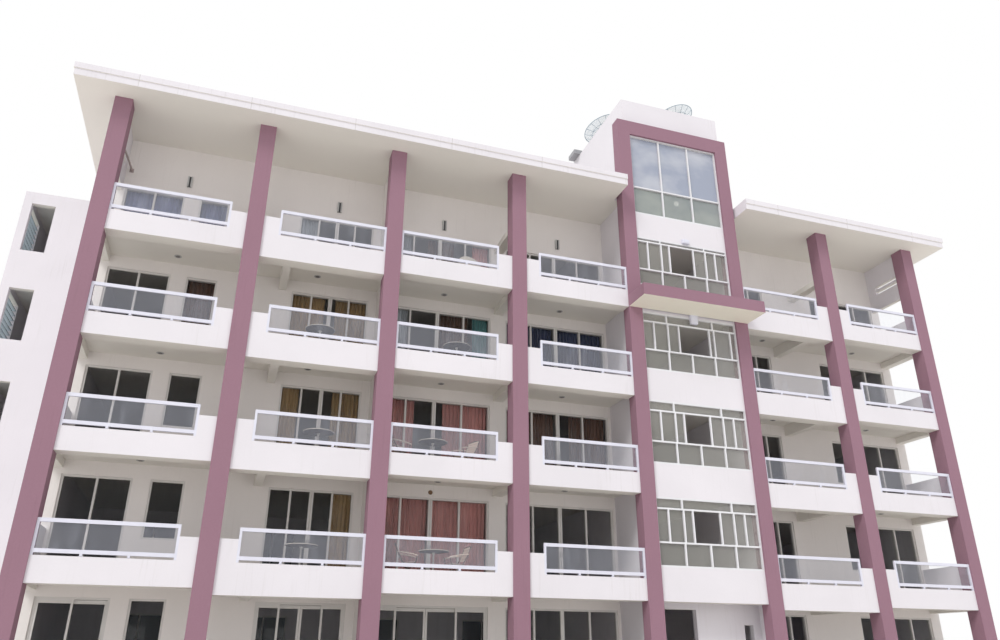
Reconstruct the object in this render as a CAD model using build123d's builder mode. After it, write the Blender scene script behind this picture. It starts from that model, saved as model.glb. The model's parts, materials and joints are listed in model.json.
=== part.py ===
from build123d import *
import os
from math import atan, cos, degrees, pi

# Five-storey apartment block with two balcony wings, a glazed stair tower and a rear service wing.
# Millimetres. X runs along the front, Y from the front towards the rear, Z up from the ground.
# The origin is the middle of the main block's footprint, on the ground.

os.makedirs("parts", exist_ok=True)

# overall grid
storey_height = 3000
upper_storeys = 4
bay_width = 4000
block_depth = 10000
ground_slab_top = 150
slab_thickness = 180
balcony_depth = 2130
wall_thickness = 200
party_thickness = 150

# columns, parapets and railings
column_width = 470
column_depth = 500
edge_beam_drop = 400
deep_beam_drop = 550
parapet_setback = 50
parapet_thickness = 150
parapet_rise = 200
block_rise = 750
block_width = 440
railing_rise = 1030
railing_gap = 60
railing_post = 60
railing_bar = 90
railing_depth = 60
railing_glass_thickness = 12
side_parapet_rise = 1050
cross_beam_width = 300
bay_beam_offset = 1030
bay_beam_width = 230

# roofs
roof_clear_height = 3793
roof_slab_thickness = 220
roof_cap_thickness = 180
roof_side_overhang = 1000
roof_front_overhang = 630
roof_rear_overhang = 600
roof_cap_overhang = 30
roof_leg_gap = 100

# stair tower
tower_leg_depth = 410
tower_portal_top = 19160
tower_portal_beam = 560
tower_box_rise = 1270
tower_box_inset = 435
tower_box_depth = 6300
tower_wall_thickness = 250
tower_wall_offset = 50
tower_parapet_rise = 250
tower_glazing_setback = 80
tower_spandrel_thickness = 200
canopy_projection = 1000
window_sill_rise = 535
window_head_rise = 2530
upper_sill_rise = 500
upper_head_rise = 2310
top_window_sill = 15380
low_light = 690
upper_low_light = 600
top_low_light = 1070
high_light = 330
upper_high_light = 150
window_bar = 50
window_bar_depth = 60
# places of the upright bars, as shares of the clear width from its middle
fixed_bar_share = 0.2436
sash_bar_shares = (-0.381, -0.235, -0.147, 0.12, 0.255, 0.364)
wide_open_bar_shares = (-0.381, -0.235, -0.122, 0.203, 0.255, 0.43)

# doors and windows
door_head_rise = 2450
top_door_head_rise = 2150
window_sill_height = 900
wide_door_offset = 260
wide_door_margin = 140
deep_door_offset = 1325
deep_door_margin = 315
end_door_width = 1700
end_door_margin = 145
end_window_width = 870
end_window_offset = 850
stile_width = 55
glass_thickness = 10
leaf_gap = 6
runner_gap = 0.3
leaf_depth = 40
leaf_rail = 90
track_depth = 120

# service wing at the left rear
wing_length = 2965
wing_front = 5000
wing_depth = 3000
wing_opening_offset = 250
wing_opening_width = 690
wing_beam = 410
louvre_count = 9
louvre_thickness = 30
louvre_depth = 140
louvre_bay = 1400

# levels, widths and grid lines that follow from the sizes above; a margin is left beside the far line
wide_door_width = bay_width - wide_door_offset - wide_door_margin
deep_door_width = bay_width - deep_door_offset - deep_door_margin
end_door_offset = bay_width - end_door_width - end_door_margin
tower_box_top = tower_portal_top + tower_box_rise
front = -block_depth / 2
rear = block_depth / 2
wall_face = front + balcony_depth
wall_back = wall_face + wall_thickness
slab_front = front + column_depth
floor_levels = [ground_slab_top + storey_height * n for n in range(upper_storeys + 1)]
upper_levels = floor_levels[1:]
roof_soffit = floor_levels[-1] + roof_clear_height
fifth_level = floor_levels[-1] + storey_height
lines = [bay_width * (n - 3.5) for n in range(8)]
wing_lines = [lines[n] for n in (0, 1, 2, 3, 6, 7)]
tower_lines = [lines[4], lines[5]]
tower_middle = (lines[4] + lines[5]) / 2
end_face = lines[7] + column_width / 2
# each balcony bay: its shared line, and the direction in which the bay runs from that line
bays = [(lines[1], -1), (lines[1], 1), (lines[3], -1), (lines[3], 1), (lines[6], -1), (lines[6], 1)]
deep_bays = [(lines[1], 1), (lines[6], -1)]


def planes_at(levels, rise=0):
    """One horizontal plane per level, each raised by the same amount."""
    return [Plane.XY.offset(level + rise) for level in levels]


def openings_of(shared, side):
    """Clear spans (start, end, sill) of the door and window of one bay, from left to right."""
    if (shared, side) in deep_bays:
        spans = [(deep_door_offset, deep_door_width, 0)]
    elif shared == lines[3]:
        spans = [(wide_door_offset, wide_door_width, 0)]
    else:
        spans = [(end_window_offset, end_window_width, window_sill_height), (end_door_offset, end_door_width, 0)]
    ends = [(shared + side * start, shared + side * (start + width), sill) for start, width, sill in spans]
    return sorted((min(a, b), max(a, b), sill) for a, b, sill in ends)


front_openings = sorted(opening for shared, side in bays for opening in openings_of(shared, side))
left_openings = [opening for opening in front_openings if opening[1] < lines[4]]
right_openings = [opening for opening in front_openings if opening[0] > lines[5]]


def piers_between(openings, start, end):
    """Spans (start, end) of solid wall left between the openings."""
    edges = [start] + [value for opening in openings for value in opening[:2]] + [end]
    return list(zip(edges[0::2], edges[1::2]))


def leaf_count(opening):
    """Number of glazed leaves in an opening: one in a window, two in an end door, four in the others."""
    start, end, sill = opening
    if sill:
        return 1
    return 2 if end - start < (end_door_width + deep_door_width) / 2 else 4


# floors and roofs
with BuildPart() as ground_slab:
    with BuildSketch(Plane.XY):
        Rectangle(2 * end_face, block_depth)
    extrude(amount=ground_slab_top)

with BuildPart() as floor_slabs:
    with BuildSketch(*planes_at(upper_levels, -slab_thickness)):
        with Locations((0, (slab_front + rear) / 2)):
            Rectangle(2 * end_face, rear - slab_front)
    extrude(amount=slab_thickness)

tower_left_face = lines[4] - column_width / 2
tower_right_face = lines[5] + column_width / 2
tower_wall_left = lines[4] - tower_wall_offset
tower_wall_right = tower_right_face
roof_left = lines[0] - column_width / 2 - roof_side_overhang
roof_right = -roof_left
roof_front = front - roof_front_overhang
roof_rear = rear + roof_rear_overhang
tower_back = front + tower_leg_depth
box_left = tower_left_face + tower_box_inset
box_right = tower_right_face


def roof_outline(margin):
    """Plan of the left roof, which stops short of the tower leg and meets the tower wall behind it."""
    return [
        (roof_left - margin, roof_front - margin),
        (tower_left_face - roof_leg_gap, roof_front - margin),
        (tower_left_face - roof_leg_gap, tower_back),
        (box_left, tower_back),
        (box_left, roof_rear + margin),
        (roof_left - margin, roof_rear + margin),
    ]


def right_roof_outline(margin):
    """Plan of the right roof, which closes against the tower wall in the same way."""
    return [
        (roof_right + margin, roof_front - margin),
        (tower_right_face + roof_leg_gap, roof_front - margin),
        (tower_right_face + roof_leg_gap, tower_back),
        (box_right, tower_back),
        (box_right, roof_rear + margin),
        (roof_right + margin, roof_rear + margin),
    ]


with BuildPart() as roof_slabs:
    with BuildSketch(Plane.XY.offset(roof_soffit)):
        for outline in (roof_outline(0), right_roof_outline(0)):
            with BuildLine():
                Polyline(*outline, close=True)
            make_face()
    extrude(amount=roof_slab_thickness)

with BuildPart() as roof_caps:
    with BuildSketch(Plane.XY.offset(roof_soffit + roof_slab_thickness)):
        for outline in (roof_outline(roof_cap_overhang), right_roof_outline(roof_cap_overhang)):
            with BuildLine():
                Polyline(*outline, close=True)
            make_face()
    extrude(amount=roof_cap_thickness)

# columns and beams
with BuildPart() as columns:
    with BuildSketch(Plane.XY.offset(ground_slab_top)):
        with Locations(*[(x, front + column_depth / 2) for x in wing_lines]):
            Rectangle(column_width, column_depth)
    extrude(amount=roof_soffit - ground_slab_top)


def bay_span(shared, side):
    """Left and right end of a bay between the faces of its two columns."""
    near = shared + side * column_width / 2
    far = shared + side * (bay_width - column_width / 2)
    return min(near, far), max(near, far)


plain_bays = [bay for bay in bays if bay not in deep_bays]
beam_front = front + parapet_setback + parapet_thickness
tower_beam_front = front + tower_glazing_setback + tower_spandrel_thickness


def bay_strips(chosen_bays, near_y, far_y):
    """Plan of one rectangle in each chosen bay, from column to column, between two depths."""
    for shared, side in chosen_bays:
        start, end = bay_span(shared, side)
        with Locations(((start + end) / 2, (near_y + far_y) / 2)):
            Rectangle(end - start, far_y - near_y)


with BuildPart() as edge_beams:
    with BuildSketch(*planes_at(upper_levels, -edge_beam_drop)):
        bay_strips(plain_bays, beam_front, slab_front)
        with Locations((tower_middle, (tower_beam_front + slab_front) / 2)):
            Rectangle(bay_width - column_width, slab_front - tower_beam_front)
    with BuildSketch(Plane.XY.offset(fifth_level - edge_beam_drop)):
        with Locations((tower_middle, (tower_beam_front + tower_back) / 2)):
            Rectangle(bay_width - column_width, tower_back - tower_beam_front)
    extrude(amount=edge_beam_drop)
    with BuildSketch(*planes_at(upper_levels, -deep_beam_drop)):
        bay_strips(deep_bays, beam_front, slab_front)
    extrude(amount=deep_beam_drop)

with BuildPart() as cross_beams:
    beam_length = wall_face - slab_front
    beam_middle = (slab_front + wall_face) / 2
    with BuildSketch(*planes_at(upper_levels, -edge_beam_drop)):
        with Locations(*[(lines[n], beam_middle) for n in (0, 3, 7)]):
            Rectangle(cross_beam_width, beam_length)
    extrude(amount=edge_beam_drop - slab_thickness)
    with BuildSketch(*planes_at(upper_levels, -deep_beam_drop)):
        with Locations(*[(shared + side * bay_beam_offset, beam_middle) for shared, side in deep_bays]):
            Rectangle(bay_beam_width, beam_length)
    extrude(amount=deep_beam_drop - slab_thickness)

# the open ties of the top storey, between the shared columns and the wall
top_level = floor_levels[-1]
tie_bottom = 1880
tie_height = 190
with BuildPart() as roof_ties:
    with BuildSketch(Plane.XY.offset(top_level + tie_bottom)):
        with Locations(*[(lines[n], beam_middle) for n in (1, 3, 6)]):
            Rectangle(cross_beam_width, beam_length)
    extrude(amount=tie_height)

# upper end panels of the top storey, each with two long slots
end_panel_bottom = 1980
slot_rises = (640, 850)
slot_height = 110
slot_length = 1240
end_panel_low = top_level + end_panel_bottom
with BuildPart() as end_panels:
    with BuildSketch(*[Plane.YZ.offset(x - party_thickness / 2) for x in (lines[0], lines[7])]):
        with Locations((beam_middle, (end_panel_low + roof_soffit) / 2)):
            Rectangle(beam_length, roof_soffit - end_panel_low)
        slot_middles = [end_panel_low + rise + slot_height / 2 for rise in slot_rises]
        with Locations(*[(slab_front + slot_length / 2, middle) for middle in slot_middles]):
            Rectangle(slot_length, slot_height, mode=Mode.SUBTRACT)
    extrude(amount=party_thickness)

# balcony fronts
parapet_front = front + parapet_setback
parapet_middle = parapet_front + parapet_thickness / 2
with BuildPart() as balcony_parapets:
    for chosen_bays, drop in ((plain_bays, edge_beam_drop), (deep_bays, deep_beam_drop)):
        with BuildSketch(*planes_at(upper_levels, -drop)):
            bay_strips(chosen_bays, parapet_front, beam_front)
        extrude(amount=drop + parapet_rise)

with BuildPart() as parapet_blocks:
    with BuildSketch(*planes_at(upper_levels, parapet_rise)):
        with Locations(*[(x + side * (column_width + block_width) / 2, parapet_middle) for x, side in bays]):
            Rectangle(block_width, parapet_thickness)
    extrude(amount=block_rise - parapet_rise)

with BuildPart() as side_parapets:
    with BuildSketch(*planes_at(upper_levels)):
        with Locations(*[(x, beam_middle) for x in (lines[0], lines[7])]):
            Rectangle(party_thickness, beam_length)
    extrude(amount=side_parapet_rise)


def railing_span(shared, side):
    """Left and right end of a bay's railing, beside the raised block."""
    near = shared + side * (column_width / 2 + block_width)
    far = shared + side * (bay_width - column_width / 2)
    return min(near, far), max(near, far)


railing_middle = front + parapet_setback + railing_depth / 2
railing_spans = [railing_span(shared, side) for shared, side in bays]
post_half = railing_post / 2
post_lines = [x for start, end in railing_spans for x in (start + post_half, end - post_half)]
post_places = [(x, railing_middle) for x in post_lines]


def railing_strips(depth):
    """Plan of what runs between the two posts of each railing."""
    for start, end in railing_spans:
        with Locations(((start + end) / 2, railing_middle)):
            Rectangle(end - start - 2 * railing_post, depth)


with BuildPart() as railing_posts:
    with BuildSketch(*planes_at(upper_levels, parapet_rise)):
        with Locations(*post_places):
            Rectangle(railing_post, railing_depth)
    extrude(amount=railing_rise - parapet_rise)

lower_bar = parapet_rise + railing_gap
upper_bar = railing_rise - railing_bar
with BuildPart() as railing_bars:
    with BuildSketch(*planes_at(upper_levels, lower_bar), *planes_at(upper_levels, upper_bar)):
        railing_strips(railing_depth)
    extrude(amount=railing_bar)

with BuildPart() as railing_glass:
    with BuildSketch(*planes_at(upper_levels, lower_bar + railing_bar)):
        railing_strips(railing_glass_thickness)
    extrude(amount=upper_bar - lower_bar - railing_bar)

# front wall of the flats
wall_middle = (wall_face + wall_back) / 2
left_start = lines[0] - column_width / 2
lower_levels = floor_levels[:-1]
storey_groups = [(lower_levels, storey_height - slab_thickness), ([top_level], roof_clear_height)]
front_piers = piers_between(left_openings, left_start, tower_wall_left)
front_piers += piers_between(right_openings, tower_wall_right, end_face)


def wall_strips(spans, middle, thickness):
    """Plan of straight wall pieces along the front or rear, one for each span."""
    for start, end in spans:
        with Locations(((start + end) / 2, middle)):
            Rectangle(end - start, thickness)


doors = [opening for opening in front_openings if not opening[2]]
windows = [opening for opening in front_openings if opening[2]]
opening_spans = [opening[:2] for opening in front_openings]
with BuildPart() as front_wall_piers:
    for levels, height in storey_groups:
        with BuildSketch(*planes_at(levels)):
            wall_strips(front_piers, wall_middle, wall_thickness)
        extrude(amount=height)

with BuildPart() as front_wall_heads:
    for (levels, height), head in zip(storey_groups, (door_head_rise, top_door_head_rise)):
        with BuildSketch(*planes_at(levels, head)):
            wall_strips(opening_spans, wall_middle, wall_thickness)
        extrude(amount=height - head)
    with BuildSketch(*planes_at(floor_levels)):
        wall_strips([window[:2] for window in windows], wall_middle, wall_thickness)
    extrude(amount=window_sill_height)

with BuildPart() as party_walls:
    for levels, height in storey_groups:
        with BuildSketch(*planes_at(levels)):
            with Locations((lines[2], beam_middle)):
                Rectangle(party_thickness, beam_length)
        extrude(amount=height)

# frames of the fixed doors and windows: upright bars, bars across, and one pane in each leaf
sliding_doors = [left_openings[0], left_openings[2], left_openings[3]]
fixed_doors = [door for door in doors if door not in sliding_doors]
ground = floor_levels[0]
head_groups = [(lower_levels, door_head_rise), ([top_level], top_door_head_rise)]
frame_groups = [(upper_levels[:-1], doors, door_head_rise), ([ground], fixed_doors, door_head_rise)]
frame_groups += [([top_level], doors, top_door_head_rise)]
frame_groups += [(levels, windows, head) for levels, head in head_groups]


def leaf_edges(opening):
    """Glazed spans of an opening's leaves; the two middle leaves of four meet in a double stile."""
    start, end, sill = opening
    count = leaf_count(opening)
    pitch = (end - start - stile_width) / count
    edges = []
    for n in range(count):
        left = start + stile_width + pitch * n + (stile_width / 2 if count == 4 and n == 2 else 0)
        right = start + pitch * (n + 1) - (stile_width / 2 if count == 4 and n == 1 else 0)
        edges.append((left, right))
    return edges


def stile_edges(opening):
    """Spans of the upright bars beside and between an opening's panes."""
    panes = leaf_edges(opening)
    lefts = [opening[0]] + [right for left, right in panes]
    rights = [left for left, right in panes] + [opening[1]]
    return list(zip(lefts, rights))


def jamb_edges(opening):
    """Spans of the two side posts of a sliding door's frame."""
    return [(opening[0], opening[0] + stile_width), (opening[1] - stile_width, opening[1])]


with BuildPart() as door_stiles:
    for levels, chosen, head in frame_groups:
        sill = chosen[0][2]
        with BuildSketch(*planes_at(levels, sill + stile_width)):
            for opening in chosen:
                wall_strips(stile_edges(opening), wall_middle, track_depth)
        extrude(amount=head - sill - 2 * stile_width)
    with BuildSketch(Plane.XY.offset(ground + stile_width)):
        for opening in sliding_doors:
            wall_strips(jamb_edges(opening), wall_middle, track_depth)
    extrude(amount=door_head_rise - 2 * stile_width)

with BuildPart() as door_rails:
    for levels, head in head_groups:
        for chosen in (doors, windows):
            sill = chosen[0][2]
            with BuildSketch(*planes_at(levels, sill), *planes_at(levels, head - stile_width)):
                wall_strips([opening[:2] for opening in chosen], wall_middle, track_depth)
            extrude(amount=stile_width)

with BuildPart() as door_glass:
    for levels, chosen, head in frame_groups:
        sill = chosen[0][2]
        with BuildSketch(*planes_at(levels, sill + stile_width)):
            for opening in chosen:
                wall_strips(leaf_edges(opening), wall_middle, glass_thickness)
        extrude(amount=head - sill - 2 * stile_width)

# ground-floor sliding doors
outer_track = wall_middle - track_depth / 4
inner_track = wall_middle + track_depth / 4
leaf_bottom = ground + stile_width + runner_gap
leaf_top = ground + door_head_rise - stile_width - leaf_gap
fixed_bottom = ground + stile_width
fixed_top = ground + door_head_rise - stile_width


def leaf_spans(opening):
    """Spans of the fixed and of the sliding leaves of one door, which overlap by one stile."""
    start, end, sill = opening
    inside_left = start + stile_width
    inside_right = end - stile_width
    count = leaf_count(opening)
    pitch = (inside_right - inside_left) / count
    if count == 2:
        fixed = [(inside_left, inside_left + pitch + stile_width / 2)]
        moving = [(inside_right - leaf_gap - pitch - stile_width / 2, inside_right - leaf_gap)]
    else:
        middle = (inside_left + inside_right) / 2
        fixed = [(inside_left, inside_left + pitch + stile_width / 2),
                 (inside_right - pitch - stile_width / 2, inside_right)]
        moving = [(middle - leaf_gap / 2 - pitch - stile_width / 2, middle - leaf_gap / 2),
                  (middle + leaf_gap / 2, middle + leaf_gap / 2 + pitch + stile_width / 2)]
    return fixed, moving


def leaf_frame_sketch(start, end, bottom, top):
    """Front view of one leaf's frame: an outline with one large hole for the pane."""
    with Locations(((start + end) / 2, (bottom + top) / 2)):
        Rectangle(end - start, top - bottom)
        Rectangle(end - start - 2 * stile_width, top - bottom - 2 * leaf_rail, mode=Mode.SUBTRACT)


def upright_plane(y):
    """Vertical plane facing the street at depth y; its own x runs along +X and its own y upwards."""
    return Plane(origin=(0, y, 0), x_dir=(1, 0, 0), z_dir=(0, -1, 0))


with BuildPart() as fixed_leaf_frames:
    for opening in sliding_doors:
        for start, end in leaf_spans(opening)[0]:
            with BuildSketch(upright_plane(outer_track + leaf_depth / 2)):
                leaf_frame_sketch(start, end, fixed_bottom, fixed_top)
            extrude(amount=leaf_depth)

with BuildPart() as fixed_leaf_glass:
    for opening in sliding_doors:
        for start, end in leaf_spans(opening)[0]:
            with BuildSketch(upright_plane(outer_track + glass_thickness / 2)):
                with Locations(((start + end) / 2, (fixed_bottom + fixed_top) / 2)):
                    Rectangle(end - start - 2 * stile_width, fixed_top - fixed_bottom - 2 * leaf_rail)
            extrude(amount=glass_thickness)

moving_spans = [span for opening in sliding_doors for span in leaf_spans(opening)[1]]
leaf_names = ["bay_1_leaf", "bay_2_left_leaf", "bay_2_right_leaf", "bay_3_left_leaf", "bay_3_right_leaf"]
leaf_parts = {}
for name, (start, end) in zip(leaf_names, moving_spans):
    with BuildPart() as leaf_frame:
        with BuildSketch(upright_plane(inner_track + leaf_depth / 2)):
            leaf_frame_sketch(start, end, leaf_bottom, leaf_top)
        extrude(amount=leaf_depth)
    with BuildPart() as leaf_pane:
        with BuildSketch(upright_plane(inner_track + glass_thickness / 2)):
            with Locations(((start + end) / 2, (leaf_bottom + leaf_top) / 2)):
                Rectangle(end - start - 2 * stile_width, leaf_top - leaf_bottom - 2 * leaf_rail)
        extrude(amount=glass_thickness)
    leaf_parts[name + "_frame"] = leaf_frame.part
    leaf_parts[name + "_glass"] = leaf_pane.part

# stair tower
with BuildPart() as tower_legs:
    with BuildSketch(Plane.XY.offset(ground_slab_top)):
        with Locations(*[(x, front + tower_leg_depth / 2) for x in tower_lines]):
            Rectangle(column_width, tower_leg_depth)
    extrude(amount=tower_portal_top - tower_portal_beam - ground_slab_top)

with BuildPart() as tower_head_beam:
    with BuildSketch(Plane.XY.offset(tower_portal_top - tower_portal_beam)):
        with Locations((tower_middle, front + tower_leg_depth / 2)):
            Rectangle(bay_width + column_width, tower_leg_depth)
    extrude(amount=tower_portal_beam)

canopy_top = floor_levels[-1]
canopy_bottom = canopy_top - edge_beam_drop
with BuildPart() as tower_canopy:
    with BuildSketch(Plane.XY.offset(canopy_bottom)):
        with Locations((tower_middle, front - canopy_projection / 2)):
            Rectangle(bay_width + column_width, canopy_projection)
    extrude(amount=canopy_top - canopy_bottom)

# (bottom, top, transom heights, offsets of the sliding sashes' bars) of each tower window, from the lowest
# up to the tall one without sashes; in one storey the sashes stand further open
storey_windows = [(level + window_sill_rise, level + window_head_rise) for level in upper_levels[:-1]]
clear_width = bay_width - column_width
sash_bar_offsets = [share * clear_width for share in sash_bar_shares]
wide_open_bar_offsets = [share * clear_width for share in wide_open_bar_shares]
storey_offsets = [sash_bar_offsets, sash_bar_offsets, wide_open_bar_offsets]
tower_windows = [(low, high, [low + low_light, high - high_light], offsets)
                 for (low, high), offsets in zip(storey_windows, storey_offsets)]
upper_sill = top_level + upper_sill_rise
upper_head = top_level + upper_head_rise
upper_transoms = [upper_sill + upper_low_light, upper_head - upper_high_light]
tower_windows.append((upper_sill, upper_head, upper_transoms, sash_bar_offsets))
top_window_head = tower_portal_top - tower_portal_beam
tower_windows.append((top_window_sill, top_window_head, [top_window_sill + top_low_light], []))

# white bands between the tower's windows
spandrel_bottoms = [floor_levels[1] - edge_beam_drop] + [window[1] for window in tower_windows[:-1]]
spandrel_tops = [window[0] for window in tower_windows]
with BuildPart() as tower_spandrels:
    for bottom, top in zip(spandrel_bottoms, spandrel_tops):
        with BuildSketch(Plane.XY.offset(bottom)):
            with Locations((tower_middle, front + tower_glazing_setback + tower_spandrel_thickness / 2)):
                Rectangle(bay_width - column_width, tower_spandrel_thickness)
        extrude(amount=top - bottom)

inside_left = lines[4] + column_width / 2
inside_right = lines[5] - column_width / 2
frame_face = front + tower_glazing_setback
frame_back = frame_face + window_bar_depth
frame_middle = (frame_face + frame_back) / 2


def row_bars(row, offsets):
    """Middles of the upright bars in one row of a tower window, from the tower's middle line."""
    if not offsets:
        third = (inside_right - inside_left) / 3
        return [-third / 2, third / 2]
    fixed_bar = fixed_bar_share * clear_width
    if row == 1:
        return offsets
    if row == 2:
        return [-fixed_bar, fixed_bar]
    return [-fixed_bar, 0, fixed_bar]


def row_edges(low, high, transoms):
    """Clear heights (low, high) of each row of panes between a window's bars across."""
    lows = [low + window_bar] + [transom + window_bar / 2 for transom in transoms]
    highs = [transom - window_bar / 2 for transom in transoms] + [high - window_bar]
    return list(zip(lows, highs))


def upright_spans(row, offsets):
    """Left and right edges of every upright bar in one row of a tower window, its rim included."""
    middles = [tower_middle + offset for offset in row_bars(row, offsets)]
    inner = [(x - window_bar / 2, x + window_bar / 2) for x in middles]
    return [(inside_left, inside_left + window_bar)] + inner + [(inside_right - window_bar, inside_right)]


with BuildPart() as tower_crossbars:
    for low, high, transoms, offsets in tower_windows:
        bottoms = [low] + [transom - window_bar / 2 for transom in transoms] + [high - window_bar]
        with BuildSketch(*planes_at(bottoms)):
            wall_strips([(inside_left, inside_right)], frame_middle, window_bar_depth)
        extrude(amount=window_bar)

with BuildPart() as tower_uprights:
    for low, high, transoms, offsets in tower_windows:
        for row, (pane_low, pane_high) in enumerate(row_edges(low, high, transoms)):
            with BuildSketch(Plane.XY.offset(pane_low)):
                wall_strips(upright_spans(row, offsets), frame_middle, window_bar_depth)
            extrude(amount=pane_high - pane_low)

# glass lies against the back of the bars, one strip for each row; the sashes of the middle row stand open
pane_lap = window_bar / 2 - leaf_gap / 2
with BuildPart() as tower_glazing:
    for low, high, transoms, offsets in tower_windows:
        for row, (pane_low, pane_high) in enumerate(row_edges(low, high, transoms)):
            spans = [(inside_left, inside_right)]
            if row == 1 and offsets:
                spans = [(inside_left, tower_middle + offsets[2]), (tower_middle + offsets[3], inside_right)]
            with BuildSketch(Plane.XY.offset(pane_low - pane_lap)):
                wall_strips(spans, frame_back + glass_thickness / 2, glass_thickness)
            extrude(amount=pane_high - pane_low + 2 * pane_lap)

tower_walls = [tower_wall_left + tower_wall_thickness / 2, tower_wall_right - tower_wall_thickness / 2]
inner_rear = rear - wall_thickness
with BuildPart() as tower_side_walls:
    with BuildSketch(*planes_at(floor_levels)):
        with Locations(*[(x, (tower_back + inner_rear) / 2) for x in tower_walls]):
            Rectangle(tower_wall_thickness, inner_rear - tower_back)
    extrude(amount=storey_height - slab_thickness)

box_back = front + tower_box_depth
box_roof_top = tower_box_top - tower_parapet_rise
box_inside_left = box_left + wall_thickness
box_inside_right = box_right - wall_thickness
with BuildPart() as tower_floors:
    with BuildSketch(Plane.XY.offset(fifth_level - slab_thickness)):
        with Locations(((tower_wall_left + box_right) / 2, (tower_back + inner_rear) / 2)):
            Rectangle(box_right - tower_wall_left, inner_rear - tower_back)
    extrude(amount=slab_thickness)
    with BuildSketch(Plane.XY.offset(box_roof_top - slab_thickness)):
        with Locations(((box_left + box_right) / 2, (tower_back + box_back) / 2)):
            Rectangle(box_inside_right - box_inside_left, tower_box_depth - tower_leg_depth - 2 * wall_thickness)
    extrude(amount=slab_thickness)

# low walls that close the top storey against the tower, under the edges of the two roofs
with BuildPart() as tower_kerbs:
    with BuildSketch(Plane.XY.offset(fifth_level)):
        with Locations(((tower_wall_left + box_left) / 2, (tower_back + inner_rear) / 2)):
            Rectangle(box_left - tower_wall_left, inner_rear - tower_back)
        with Locations((box_right - wall_thickness / 2, (box_back + inner_rear) / 2)):
            Rectangle(wall_thickness, inner_rear - box_back)
    extrude(amount=roof_soffit - fifth_level)

with BuildPart() as tower_box_sides:
    with BuildSketch(Plane.XY.offset(fifth_level)):
        for x in (box_left + wall_thickness / 2, box_right - wall_thickness / 2):
            with Locations((x, (tower_back + box_back) / 2)):
                Rectangle(wall_thickness, box_back - tower_back)
    extrude(amount=tower_box_top - fifth_level)

box_middle = (box_left + box_right) / 2
with BuildPart() as tower_box_ends:
    with BuildSketch(Plane.XY.offset(top_window_head)):
        with Locations((box_middle, tower_back + wall_thickness / 2)):
            Rectangle(box_inside_right - box_inside_left, wall_thickness)
    extrude(amount=tower_box_top - top_window_head)
    with BuildSketch(Plane.XY.offset(fifth_level)):
        with Locations((box_middle, box_back - wall_thickness / 2)):
            Rectangle(box_inside_right - box_inside_left, wall_thickness)
    extrude(amount=tower_box_top - fifth_level)

# ground-floor wall of the tower, with an open doorway and one small window
entrance_setback = 900
entrance_offset = 400
entrance_width = 1200
small_window_offset = 250
small_window_width = 320
small_window_sill = 1450
small_window_height = 600
hall_left = tower_wall_left + tower_wall_thickness
hall_right = tower_wall_right - tower_wall_thickness
entrance = (hall_left + entrance_offset, hall_left + entrance_offset + entrance_width)
small_window = (hall_right - small_window_offset - small_window_width, hall_right - small_window_offset)
entrance_middle = front + entrance_setback + wall_thickness / 2
entrance_ceiling = storey_height - slab_thickness
with BuildPart() as entrance_wall_piers:
    with BuildSketch(Plane.XY.offset(ground)):
        wall_strips(piers_between([entrance, small_window], hall_left, hall_right), entrance_middle, wall_thickness)
    extrude(amount=entrance_ceiling)

with BuildPart() as entrance_wall_heads:
    small_window_head = small_window_sill + small_window_height
    pieces = [(entrance, door_head_rise, entrance_ceiling), (small_window, 0, small_window_sill)]
    pieces.append((small_window, small_window_head, entrance_ceiling))
    for span, low, high in pieces:
        with BuildSketch(Plane.XY.offset(ground + low)):
            wall_strips([span], entrance_middle, wall_thickness)
        extrude(amount=high - low)

# rear and end walls
rear_window_width = 1600
rear_window_starts = [line + (bay_width - rear_window_width) / 2 for line in lines[:-1]]
rear_openings = [(start, start + rear_window_width) for start in rear_window_starts]
rear_middle = rear - wall_thickness / 2
with BuildPart() as rear_wall_piers:
    for levels, height in storey_groups:
        with BuildSketch(*planes_at(levels)):
            wall_strips(piers_between(rear_openings, -end_face, end_face), rear_middle, wall_thickness)
        extrude(amount=height)

with BuildPart() as rear_wall_heads:
    with BuildSketch(*planes_at(floor_levels)):
        wall_strips(rear_openings, rear_middle, wall_thickness)
    extrude(amount=window_sill_height)
    for levels, height in storey_groups:
        with BuildSketch(*planes_at(levels, door_head_rise)):
            wall_strips(rear_openings, rear_middle, wall_thickness)
        extrude(amount=height - door_head_rise)

with BuildPart() as rear_glass:
    with BuildSketch(*planes_at(floor_levels, window_sill_height)):
        wall_strips(rear_openings, rear_middle, glass_thickness)
    extrude(amount=door_head_rise - window_sill_height)

with BuildPart() as end_walls:
    for levels, height in storey_groups:
        with BuildSketch(*planes_at(levels)):
            end_middle = end_face - wall_thickness / 2
            with Locations(*[(x, (wall_back + inner_rear) / 2) for x in (-end_middle, end_middle)]):
                Rectangle(wall_thickness, inner_rear - wall_back)
        extrude(amount=height)

# service wing
wing_left = -end_face - wing_length
wing_face = front + wing_front
wing_rear = wing_face + wing_depth
wing_inside = wing_face + wall_thickness
wing_hole = (wing_left + wing_opening_offset, wing_left + wing_opening_offset + wing_opening_width)
wing_top = fifth_level
with BuildPart() as wing_walls:
    with BuildSketch(Plane.XY):
        for start, end in piers_between([wing_hole], wing_left, -end_face):
            with Locations(((start + end) / 2, wing_face + wall_thickness / 2)):
                Rectangle(end - start, wall_thickness)
        with Locations((wing_left + wall_thickness / 2, (wing_inside + louvre_bay + wing_rear) / 2)):
            Rectangle(wall_thickness, wing_rear - wing_inside - louvre_bay)
    extrude(amount=wing_top)

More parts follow.
